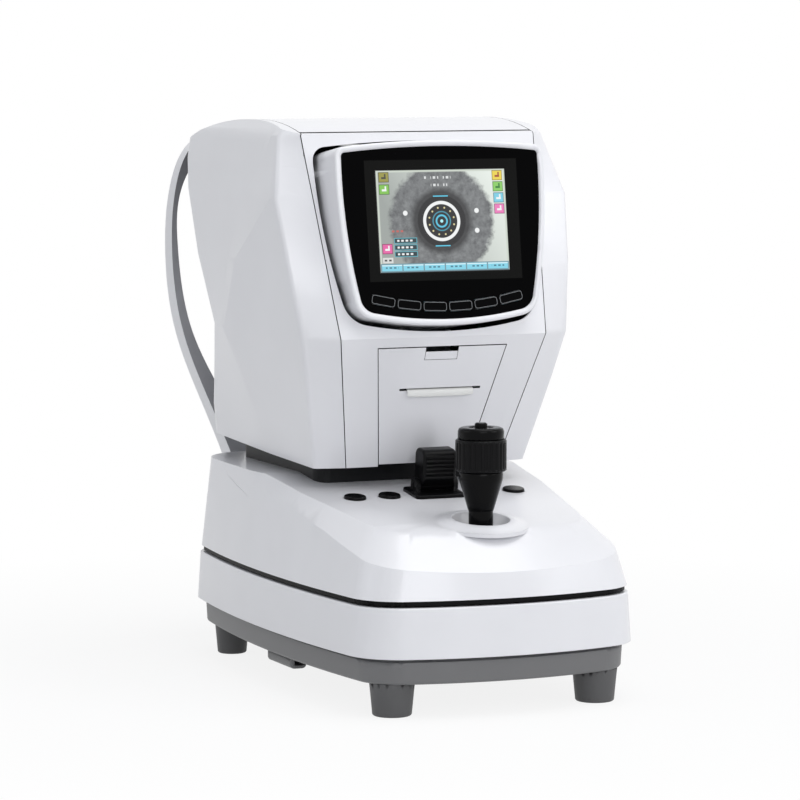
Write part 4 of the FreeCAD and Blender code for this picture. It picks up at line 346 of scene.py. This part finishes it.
def screen_picture(name, slot):
    """A generic eye view: iris and pupil, an alignment ring with dots, tiles, value boxes and soft-key tabs."""
    paint = Paint(name, slot)
    x, up = panel_place(paint)
    eye = (-1.0, -0.5)
    reach = distance_from(x, up, eye)
    mottle = paint.noise(5.0, 5.0, roughness=0.65)
    lid = ((x + up * 0.6) / 120.0 + 0.35).maths("MULTIPLY", 1.0, clamp=True)
    white_of_eye = paint.mix(lid, (0.34, 0.37, 0.35), (0.86, 0.92, 0.86))
    iris = paint.mix((mottle - 0.30).maths("MULTIPLY", 1.7, clamp=True), (0.10, 0.105, 0.11), (0.31, 0.325, 0.33))
    picture = paint.mix((reach + (mottle - 0.5) * 9.0 - 45.0).step(0.22), iris, white_of_eye)
    pale_edge = (54.6 - abs(x)).least(39.2 - abs(up)).step(1.2)
    picture = paint.mix(pale_edge, (0.62, 0.68, 0.60), picture)
    picture = paint.mix((26.0 - reach).step(0.20) * 0.85, picture, (0.012, 0.012, 0.013))
    picture = paint.mix((21.0 - reach).step(1.0), picture, (0.004, 0.004, 0.005))
    ring = (1.3 - abs(reach - 14.9)).step(4.0)
    picture = paint.mix(ring, picture, WHITE)
    for radius, width, share in ((7.6, 0.5, 0.45), (4.6, 0.7, 0.9)):
        picture = paint.mix((width - abs(reach - radius)).step(4.0) * share, picture, CYAN)
    picture = paint.mix((1.3 - reach).step(4.0), picture, (0.45, 0.95, 1.0))
    # twelve dots on one circle: fold the angle into a twelfth of a turn
    dx, dy = x - eye[0], up - eye[1]
    sector = math.tau / 12
    angle = dy.maths("ARCTAN2", dx)
    folded = (angle + math.tau).maths("MODULO", sector) - sector / 2
    along, aside = reach * folded.maths("COSINE") - 11.0, reach * folded.maths("SINE")
    dots = (0.75 - (along * along + aside * aside).root()).step(4.0)
    picture = paint.mix(dots, picture, (0.75, 0.68, 0.35))
    for centre in ((-32.4, 6.4), (30.0, 7.4), (29.6, -8.6)):
        picture = paint.mix((2.0 - distance_from(x, up, centre)).step(2.0), picture, WHITE)
    # short marks over and under the ring, two rows of ticks at the top
    for centre in ((-1, 19.6), (-1, -20.4)):
        picture = paint.mix(bar(x, up, centre, (13, 0.9)), picture, CYAN)
    ticks = (x.maths("PINGPONG", 1.9) - 0.8).step(3.0)
    for centre, width in (((-3.0, 34.6), 26.0), ((-3.5, 28.6), 18.0)):
        gaps = (x.maths("PINGPONG", 5.4) - 2.0).step(4.0)
        picture = paint.mix(bar(x, up, centre, (width, 2.0)) * ticks * gaps * 0.8, picture, WHITE)
    # tiles: a dark edge, a coloured face and a small mark
    tiles = [((-49.6, 35.4), (0.32, 0.30, 0.05), (0.05, 0.05, 0.03)),
             ((-49.6, 25.6), (0.22, 0.55, 0.08), WHITE), ((49.6, 35.6), (0.85, 0.66, 0.06), (0.35, 0.05, 0.02)),
             ((49.8, 26.6), (0.25, 0.62, 0.12), (0.02, 0.20, 0.02)), ((50.0, 17.6), (0.20, 0.62, 0.78), WHITE),
             ((50.2, 8.6), (0.85, 0.20, 0.50), WHITE), ((-49.4, -22.0), (0.80, 0.12, 0.38), WHITE)]
    for (cx, cy), face, mark in tiles:
        picture = paint.mix(bar(x, up, (cx, cy), (9.0, 8.2)), picture, scaled(face, 0.35))
        picture = paint.mix(bar(x, up, (cx, cy), (7.8, 7.0)), picture, face)
        picture = paint.mix(bar(x, up, (cx, cy - 0.6), (4.0, 1.6)).most(bar(x, up, (cx + 1.2, cy + 1.0),
                                                                            (1.3, 3.2))), picture, mark)
    for row in range(3):
        centre = (-33.4, -15.6 - 5.4 * row)
        picture = paint.mix(bar(x, up, centre, (20.0, 4.6)), picture, (0.10, 0.42, 0.50))
        picture = paint.mix(bar(x, up, centre, (18.8, 3.4)), picture, (0.01, 0.03, 0.04))
        picture = paint.mix(bar(x, up, centre, (14.5, 1.5)) * ticks, picture, WHITE)
    picture = paint.mix(bar(x, up, (-49.4, -31.2), (9.0, 4.4)), picture, (0.70, 0.72, 0.70))
    picture = paint.mix(bar(x, up, (-49.4, -31.2), (6.4, 1.4)) * ticks, picture, (0.05, 0.05, 0.05))
    picture = paint.mix(bar(x, up, (-40.5, -8.0), (11.0, 1.5)) * ticks, picture, (0.55, 0.12, 0.10))
    shelf = bar(x, up, (0, -37.4), (112.0, 7.0))
    picture = paint.mix(shelf, picture, (0.16, 0.30, 0.36))
    for index in range(6):
        centre = ((index - 2.5) * 18.5, -37.2)
        picture = paint.mix(bar(x, up, centre, (17.4, 5.0)), picture, (0.22, 0.66, 0.82))
        picture = paint.mix(bar(x, up, (centre[0], centre[1] + 1.9), (17.4, 0.8)), picture, (0.70, 0.92, 0.98))
        picture = paint.mix(bar(x, up, centre, (11.0, 1.3)) * ticks * 0.8, picture, (0.02, 0.10, 0.16))
    dark_rim = (56.2 - abs(x)).least(40.7 - abs(up)).step(3.0)
    picture = paint.mix(dark_rim, (0.015, 0.015, 0.015), picture)
    return paint.finish(Base_Color=(0.015, 0.015, 0.016), Roughness=0.16, Emission_Color=picture,
                        Emission_Strength=0.95, IOR=1.5)


def panel_gloss(name, slot):
    """Piano-black panel with a satin grey border printed round the screen window."""
    paint = Paint(name, slot)
    x, up = panel_place(paint)
    border = bar(x, up - 0.5, (0.5, 0.0), (133.0, 97.0))
    speck = paint.noise(0.5, 2.0)
    base = paint.mix(border, (0.0008, 0.0008, 0.001), (0.0075, 0.0075, 0.0072))
    round_normal, _ = paint.edge_round(0.5)
    return paint.finish(Base_Color=base, Roughness=0.10 + border * 0.22 + (speck - 0.5) * 0.02,
                        Normal=round_normal, IOR=1.5, Specular_IOR_Level=0.03)


def coated_glass(name, slot):
    """Anti-reflection coating: dark, with a painted violet to green sheen by angle."""
    paint = Paint(name, slot)
    facing_share = paint.add("ShaderNodeLayerWeight", {}, {"Blend": 0.35}, "Facing")
    # painted sheen: the base colour turns from violet to green towards grazing angles
    painted_sheen = paint.mix(facing_share, (0.035, 0.015, 0.06), (0.03, 0.10, 0.07))
    return paint.finish(Base_Color=painted_sheen, Roughness=0.04, IOR=1.6, Coat_Weight=1.0, Coat_Roughness=0.02)


# ------------------------------------------------------------------ finishes by slot

def make_finishes():
    white = (0.775, 0.775, 0.80)
    return {
        # the white housing gets painted shade on seam walls, opening edges and insides
        "white_plastic": moulded("gloss_white_housing", "white_plastic", white, 0.30, depth=0.003, coat=0.25,
                                 paint_seam_shade=True),
        "grey_plastic": moulded("grained_grey_tray", "grey_plastic", (0.155, 0.155, 0.158), 0.46, 0.8, 0.02),
        "dark_plastic": moulded("satin_dark_collar", "dark_plastic", (0.010, 0.0105, 0.012), 0.42, 0.8, 0.012,
                                wear=0.2, shine=0.15),
        "black_plastic": moulded("gloss_black_grip", "black_plastic", (0.002, 0.002, 0.0023), 0.16, 0.6, 0.003,
                                 wear=0.25, shine=0.09),
        "black_matte": moulded("satin_black_moulding", "black_matte", (0.0035, 0.0035, 0.004), 0.30, 0.7, 0.010,
                               wear=0.3, shine=0.10),
        "rubber": moulded("grey_foot_rubber", "rubber", (0.086, 0.086, 0.088), 0.55, 0.9, 0.03, edge=0.08),
        "pad": moulded("soft_brow_pad", "pad", (0.10, 0.105, 0.115), 0.62, 1.2, 0.04),
        "steel": metal("ground_steel", "steel", (0.62, 0.63, 0.65), 0.22, (1.0, 1.0, 1.0)),
        "alloy": metal("machined_alloy", "alloy", (0.72, 0.73, 0.75), 0.36, (0.15, 1.0, 1.0)),
        "painted_steel": powder_coat("black_powder_coat", "painted_steel", (0.004, 0.004, 0.0045)),
        "screen": screen_picture("lit_screen", "screen"),
        "optic": coated_glass("coated_window", "optic"),
        "board": circuit_board("solder_mask", "board"),
        "paper": moulded("thermal_paper", "paper", (0.80, 0.80, 0.78), 0.62, 0.35, 0.01),
    }


set_camera()
set_lights()
finishes = make_finishes()
special = {"display_panel": panel_gloss("piano_black_panel", "black_plastic"),
           "face_arch": arch_with_painted_shade("arch_painted_shade", "white_plastic")}
key_face = moulded("black_key_face", "black_matte", (0.001, 0.001, 0.0012), 0.14, depth=0.002, shine=0.04)
special.update({"soft_key_%d" % number: key_face for number in range(1, 7)})
node_slot = {part["node"]: part["material_slot"] for part in frame["record"]["subparts"]}
node_body = {node: body for body, nodes in frame["record"]["behaviour"]["bodies"].items() for node in nodes}


# ------------------------------------------------------------------ pieces

def place_piece(obj, body, material=None):
    """Gives a finished piece its body and material; the material carries its slot name."""
    if material:
        obj.data.materials.clear()
        obj.data.materials.append(material)
    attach(obj, body)
    return obj


# the head covers, whose seam walls, opening edges and insides get painted shade
SHELLS = ("front_cover", "top_cover", "rear_cover", "left_side_cover", "right_side_cover", "printer_door",
          "door_latch")
# the angle in degrees from which a node's edges stay crisp
PLAIN_CREASE = 32.0
CREASES = {"stage_cover": 11.0, "base_cover": 20.0, "face_arch": 20.0, "chin_column": 20.0,
           "display_housing": 26.0, **{node: 14.0 for node in SHELLS}}


def shell_tree():
    """All the head covers as one search tree."""
    places, faces = [], []
    for node in SHELLS:
        mesh = frame["nodes"][node].data
        first = len(places)
        places += [vertex.co.copy() for vertex in mesh.vertices]
        faces += [tuple(first + index for index in polygon.vertices) for polygon in mesh.polygons]
    return BVHTree.FromPolygons(places, faces)


SHADE_REACH = 0.4        # how far a face looks for another cover, in metres


def mark_seam_shade(mesh, tree):
    """Marks the faces that look at another piece of the casing (seam walls, opening edges and the inside) for
    painted shade.
    """
    lining = mesh.attributes.new("lining", "FLOAT", "FACE")
    for polygon in mesh.polygons:
        start = polygon.center + polygon.normal * 0.02 * MM
        hit = tree.ray_cast(start, polygon.normal, SHADE_REACH)[0]
        lining.data[polygon.index].value = float(hit is not None)


casing = shell_tree()


def dress(node):
    """A merged, smoothly shaded copy of a CAD node, with its finish, that stands in for the node."""
    mesh = frame["nodes"][node].data.copy()
    mesh.name = node + "_finish"
    work = bmesh.new()
    work.from_mesh(mesh)
    bmesh.ops.remove_doubles(work, verts=work.verts, dist=1e-6)
    bmesh.ops.dissolve_degenerate(work, dist=1e-7, edges=work.edges)
    work.to_mesh(mesh)
    work.free()
    mesh.polygons.foreach_set("use_smooth", [True] * len(mesh.polygons))
    mesh.set_sharp_from_angle(angle=math.radians(CREASES.get(node, PLAIN_CREASE)))
    # faces of the head covers that look at another cover are marked for painted shade
    if node in SHELLS:
        mark_seam_shade(mesh, casing)
    obj = bpy.data.objects.new(node + "_finish", mesh)
    scene.collection.objects.link(obj)
    weighted = obj.modifiers.new("weighted", "WEIGHTED_NORMAL")
    weighted.keep_sharp = True
    weighted.weight = 100
    place_piece(obj, node_body[node], special.get(node) or finishes[node_slot[node]])
    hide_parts(node)
    return obj


for node in sorted(frame["nodes"]):
    if node != "forehead_pad":
        dress(node)


def new_mesh(name, work):
    """Turns a bmesh into an object at the origin."""
    bmesh.ops.recalc_face_normals(work, faces=work.faces)
    mesh = bpy.data.meshes.new(name)
    work.to_mesh(mesh)
    work.free()
    obj = bpy.data.objects.new(name, mesh)
    scene.collection.objects.link(obj)
    return obj


def baked(obj):
    """The object's mesh with its modifiers applied."""
    bpy.context.view_layer.update()
    return bpy.data.meshes.new_from_object(obj.evaluated_get(bpy.context.evaluated_depsgraph_get()))


PAD_SHRINK = (0.97, 0.92, 0.88)     # the pad's starting shape, as shares of its room
PAD_VOXEL, PAD_CAP = 2.2 * MM, 2.4 * MM      # mesh size, and how far a point may move
PAD_CROWN_ACROSS, PAD_CROWN_UP = 0.30, 0.42  # share of the depth lost at the ends and at the long edges
PAD_PRESSURE, PAD_FRAMES = 4.0, 20


def brow_pad():
    """Forehead pad: a crowned shape that swells a little and keeps its back to the arch."""
    low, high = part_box("forehead_pad")
    centre = (low + high) / 2
    work = bmesh.new()
    work.from_mesh(frame["nodes"]["forehead_pad"].data)
    bmesh.ops.remove_doubles(work, verts=work.verts, dist=1e-6)
    for vertex in work.verts:
        vertex.co = centre + (vertex.co - centre) * Vector(PAD_SHRINK)
    pad = new_mesh("brow_pad", work)
    remesh = pad.modifiers.new("voxels", "REMESH")
    remesh.mode, remesh.voxel_size = "VOXEL", PAD_VOXEL
    pad.data = baked(pad)
    pad.modifiers.remove(remesh)
    half = (high - low) / 2
    for vertex in pad.data.vertices:
        # the face that the forehead rests on is crowned, both across and up
        across, up = [min(1.0, abs(vertex.co[axis] - centre[axis]) / half[axis]) for axis in (0, 2)]
        ahead = (vertex.co.y - low.y) * (1 - PAD_CROWN_ACROSS * across ** 3) * (1 - PAD_CROWN_UP * up ** 3)
        if vertex.co.y > centre.y:
            vertex.co.y = low.y + ahead
    rest = [vertex.co.copy() for vertex in pad.data.vertices]
    cloth = pad.modifiers.new("swell", "CLOTH")
    cloth.settings.use_pressure = True
    cloth.settings.uniform_pressure_force = PAD_PRESSURE
    cloth.settings.effector_weights.gravity = 0.0
    for number in range(1, PAD_FRAMES + 1):
        scene.frame_set(number)
    swollen = [vertex.co.copy() for vertex in baked(pad).vertices]
    pad.modifiers.remove(cloth)
    scene.frame_set(1)
    for vertex, start, end in zip(pad.data.vertices, rest, swollen):
        move = end - start
        if move.length > PAD_CAP:
            move *= PAD_CAP / move.length
        # the back doesn't swell into the arch's bar
        vertex.co = start + Vector((move.x, max(move.y, 0.0) if start.y < centre.y else move.y, move.z))
    pad.data.polygons.foreach_set("use_smooth", [True] * len(pad.data.polygons))
    soft = pad.modifiers.new("soft", "SUBSURF")
    soft.levels = soft.render_levels = 1
    place_piece(pad, "base", finishes["pad"])
    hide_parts("forehead_pad")


def flat_plate(name, outline, thick, place):
    """A thin plate from an outline in millimetres, standing `thick` off its face."""
    work = bmesh.new()
    face = work.faces.new([work.verts.new((x * MM, y * MM, 0)) for x, y in outline])
    bmesh.ops.extrude_face_region(work, geom=[face])
    work.verts.ensure_lookup_table()
    for vertex in work.verts[len(outline):]:
        vertex.co.z += thick * MM
    work.transform(place)
    return new_mesh(name, work)


def paper_strip():
    """A short tongue of printed paper that hangs out of the door's slot and curls a little."""
    width, slot_z = 58.0, 242.3
    door_low, door_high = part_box("printer_door")
    lean = math.tan(FRONT_LEAN)
    top_y = door_low.y * 1000
    slot_y = top_y + (door_high.z * 1000 - slot_z) * lean
    path = [(slot_y + 7.0, slot_z + 2.6), (slot_y + 3.0, slot_z + 0.9), (slot_y + 0.6, slot_z + 0.1),
            (slot_y - 0.9, slot_z - 0.9), (slot_y - 1.5, slot_z - 2.6), (slot_y - 1.1, slot_z - 4.6),
            (slot_y - 0.2, slot_z - 6.4)]
    work = bmesh.new()
    rows = []
    for y, z in path:
        rows.append([work.verts.new(((4.0 + side * width / 2) * MM, y * MM, z * MM)) for side in (-1, 1)])
    for above, below in zip(rows, rows[1:]):
        work.faces.new((above[0], above[1], below[1], below[0]))
    obj = new_mesh("paper_strip", work)
    smooth = obj.modifiers.new("smooth", "SUBSURF")
    smooth.levels = smooth.render_levels = 2
    thick = obj.modifiers.new("thick", "SOLIDIFY")
    thick.thickness = 0.12 * MM
    place_piece(obj, "printer_door", finishes["paper"])


def button_marks():
    """Small printed marks behind the round buttons: two triangles, for up and down, and a square for print."""
    marks = {"chin_up_button": [(-2.2, -1.6), (2.2, -1.6), (0, 2.2)],
             "chin_down_button": [(-2.2, 1.6), (0, -2.2), (2.2, 1.6)],
             "print_button": [(-2.2, -2.0), (2.2, -2.0), (2.2, 2.0), (-2.2, 2.0)]}
    for node, outline in marks.items():
        # each mark lies on the deck, a little to the left of its button's middle
        spot = middle(node) + DECK_OUT * 2.3 * MM + DECK_UP * 13.5 * MM + Vector((-6.0 * MM, 0, 0))
        obj = flat_plate(node + "_mark", outline, 0.06, facing(spot, DECK_UP, DECK_OUT))
        place_piece(obj, "stage", finishes["black_matte"])


# ------------------------------------------------------------------ repeated details, by geometry nodes

class Grower:
    """A geometry node tree under construction."""

    def __init__(self, name):
        self.tree = bpy.data.node_groups.new(name, "GeometryNodeTree")
        self.tree.interface.new_socket("Geometry", in_out="INPUT", socket_type="NodeSocketGeometry")
        self.start = self.tree.nodes.new("NodeGroupInput")
        self.sizes = {}

    def size(self, name, kind="NodeSocketFloat"):
        """A named input of the tree."""
        item = self.tree.interface.new_socket(name, in_out="INPUT", socket_type=kind)
        self.sizes[name] = item.identifier
        return self.start.outputs[name]

    def add(self, kind, settings=None, **values):
        node = self.tree.nodes.new(kind)
        for key, setting in (settings or {}).items():
            setattr(node, key, setting)
        for key, value in values.items():
            socket = node.inputs[key.replace("_", " ")]
            if isinstance(value, bpy.types.NodeSocket):
                self.tree.links.new(value, socket)
            else:
                socket.default_value = value
        return node

    def grow(self, name, points, geometry, material, body, slot, values):
        """Ends the tree, runs it on a mesh of points and keeps the result as a plain mesh."""
        self.tree.interface.new_socket("Geometry", in_out="OUTPUT", socket_type="NodeSocketGeometry")
        solid = self.add("GeometryNodeRealizeInstances", Geometry=geometry)
        painted = self.add("GeometryNodeSetMaterial", Geometry=solid.outputs[0], Material=material)
        end = self.tree.nodes.new("NodeGroupOutput")
        self.tree.links.new(painted.outputs[0], end.inputs[0])
        modifier = points.modifiers.new("grow", "NODES")
        modifier.node_group = self.tree
        for key, value in values.items():
            modifier[self.sizes[key]] = value
        mesh = baked(points)
        bpy.data.objects.remove(points)
        mesh.name = name
        obj = bpy.data.objects.new(name, mesh)
        scene.collection.objects.link(obj)
        return place_piece(obj, body, material)


def point_cloud(name, places, turns=None):
    """A mesh of loose points, each with a turn about X, Y and Z kept as an attribute."""
    mesh = bpy.data.meshes.new(name)
    mesh.from_pydata([tuple(place) for place in places], [], [])
    attribute = mesh.attributes.new("turn", "FLOAT_VECTOR", "POINT")
    for index, turn in enumerate(turns or [(0, 0, 0)] * len(places)):
        attribute.data[index].vector = turn
    obj = bpy.data.objects.new(name, mesh)
    scene.collection.objects.link(obj)
    return obj


def instanced(grower, shape):
    """Sets a shape on every point, turned by the point's own attribute."""
    turn = grower.add("GeometryNodeInputNamedAttribute", {"data_type": "FLOAT_VECTOR"}, Name="turn")
    rotation = grower.add("FunctionNodeEulerToRotation", Euler=turn.outputs["Attribute"])
    copies = grower.add("GeometryNodeInstanceOnPoints", Points=grower.start.outputs[0], Instance=shape,
                        Rotation=rotation.outputs[0])
    return copies.outputs[0]


def key_outlines():
    """Fine raised frames round the six soft keys."""
    places, turns = [], []
    for index in range(6):
        low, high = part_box("soft_key_%d" % (index + 1))
        centre = (low + high) / 2
        slope = math.atan(2 * 0.00187 * centre.x * 1000)
        basis = facing(centre, PANEL_UP, PANEL_OUT) @ Matrix.Rotation(slope, 4, "Z")
        depth = (centre - panel_origin).dot(PANEL_OUT)
        places.append(centre - PANEL_OUT * (depth - 0.42 * MM))
        turns.append(tuple(basis.to_euler()))
    grower = Grower("key_frame")
    width, height, corner = grower.size("Width"), grower.size("Height"), grower.size("Corner")
    wire = grower.size("Wire")
    frame_curve = grower.add("GeometryNodeCurvePrimitiveQuadrilateral", Width=width, Height=height)
    filleted = grower.add("GeometryNodeFilletCurve", Curve=frame_curve.outputs[0], Radius=corner)
    filleted.mode = "POLY"
    filleted.inputs["Count"].default_value = 5
    section = grower.add("GeometryNodeCurvePrimitiveCircle", Resolution=6, Radius=wire)
    tube = grower.add("GeometryNodeCurveToMesh", Curve=filleted.outputs[0], Profile_Curve=section.outputs[0])
    grower.grow("key_outlines", point_cloud("key_points", places, turns), instanced(grower, tube.outputs[0]),
                finishes["grey_line"], "display", "grey_plastic",
                {"Width": 19.6 * MM, "Height": 6.6 * MM, "Corner": 1.8 * MM, "Wire": 0.22 * MM})


def screws(name, places, turns, body):
    """Cross-recess screw heads."""
    grower = Grower(name + "_tree")
    radius, height = grower.size("Radius"), grower.size("Height")
    head = grower.add("GeometryNodeMeshCylinder", Vertices=20, Radius=radius, Depth=height)
    arms = []
    for across, along in ((1.25, 0.28), (0.28, 1.25)):
        arm = grower.add("GeometryNodeMeshCube")
        arm.inputs["Size"].default_value = (across * 2 * MM, along * 2 * MM, 1.6 * MM)
        moved = grower.add("GeometryNodeTransform", Geometry=arm.outputs[0])
        moved.inputs["Translation"].default_value = (0, 0, 1.0 * MM)
        arms.append(moved.outputs[0])
    cross = grower.add("GeometryNodeMeshBoolean", {"operation": "DIFFERENCE"})
    grower.tree.links.new(head.outputs[0], cross.inputs[0])
    for arm in arms:
        grower.tree.links.new(arm, cross.inputs[1])
    grower.grow(name, point_cloud(name + "_points", places, turns), instanced(grower, cross.outputs[0]),
                finishes["steel"], body, "steel", {"Radius": 3.0 * MM, "Height": 1.4 * MM})


def tray_screws():
    low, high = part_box("base_tray")
    half_x, half_y = (high.x - low.x) / 2 * 0.78, (high.y - low.y) / 2
    centre_y = (high.y + low.y) / 2
    places = [(side * half_x, centre_y + share * half_y, low.z - 0.3 * MM)
              for side in (-1, 1) for share in (-0.58, 0.0, 0.62)]
    screws("tray_screws", places, [(math.pi, 0, 0)] * len(places), "base")


finishes["grey_line"] = moulded("grey_key_line", "grey_plastic", (0.23, 0.24, 0.25), 0.35)
brow_pad()
paper_strip()
button_marks()
key_outlines()
tray_screws()


# ------------------------------------------------------------------ floor

def lay_floor():
    """A white floor that is plain white to the camera but keeps the object's soft shadow."""
    work = bmesh.new()
    bmesh.ops.create_grid(work, x_segments=1, y_segments=1, size=12.0)
    floor = new_mesh("floor", work)
    paint = Paint("studio_floor", "floor")
    path = paint.tree.nodes.new("ShaderNodeLightPath")
    seen = Value(paint, path.outputs["Is Camera Ray"]).most(Value(paint, path.outputs["Is Glossy Ray"])).most(
        Value(paint, path.outputs["Is Transmission Ray"]))
    diffuse = paint.add("ShaderNodeBsdfDiffuse", {}, {"Color": (0.86, 0.86, 0.86)})
    glow = paint.add("ShaderNodeEmission", {}, {"Color": (1.0, 1.0, 1.0), "Strength": 1.0})
    x, y, _ = paint.split(paint.mm)
    reach = (x * x + y * y).root()
    far_away = ((reach - 260.0) / 500.0).maths("MULTIPLY", 1.0, clamp=True)
    both = paint.add("ShaderNodeMixShader", {}, {0: seen * (0.86 + far_away * 0.14), 1: diffuse, 2: glow})
    paint.add_output(both)
    floor.data.materials.append(paint.material)
    world = bpy.data.worlds.new("studio")
    scene.world = world
    world.use_nodes = True
    nodes, links = world.node_tree.nodes, world.node_tree.links
    nodes.clear()
    light_path = nodes.new("ShaderNodeLightPath")
    most = light_path.outputs["Is Camera Ray"]
    for ray in ("Is Glossy Ray", "Is Transmission Ray"):
        either = nodes.new("ShaderNodeMath")
        either.operation = "MAXIMUM"
        links.new(most, either.inputs[0])
        links.new(light_path.outputs[ray], either.inputs[1])
        most = either.outputs[0]
    room, backdrop = nodes.new("ShaderNodeBackground"), nodes.new("ShaderNodeBackground")
    room.inputs["Color"].default_value = (0.92, 0.95, 1.0, 1)
    room.inputs["Strength"].default_value = 0.40
    backdrop.inputs["Strength"].default_value = 1.0
    backdrop.inputs["Color"].default_value = (1, 1, 1, 1)
    both, end = nodes.new("ShaderNodeMixShader"), nodes.new("ShaderNodeOutputWorld")
    links.new(most, both.inputs[0])
    links.new(room.outputs[0], both.inputs[1])
    links.new(backdrop.outputs[0], both.inputs[2])
    links.new(both.outputs[0], end.inputs["Surface"])


lay_floor()
scene.view_settings.view_transform = "Standard"
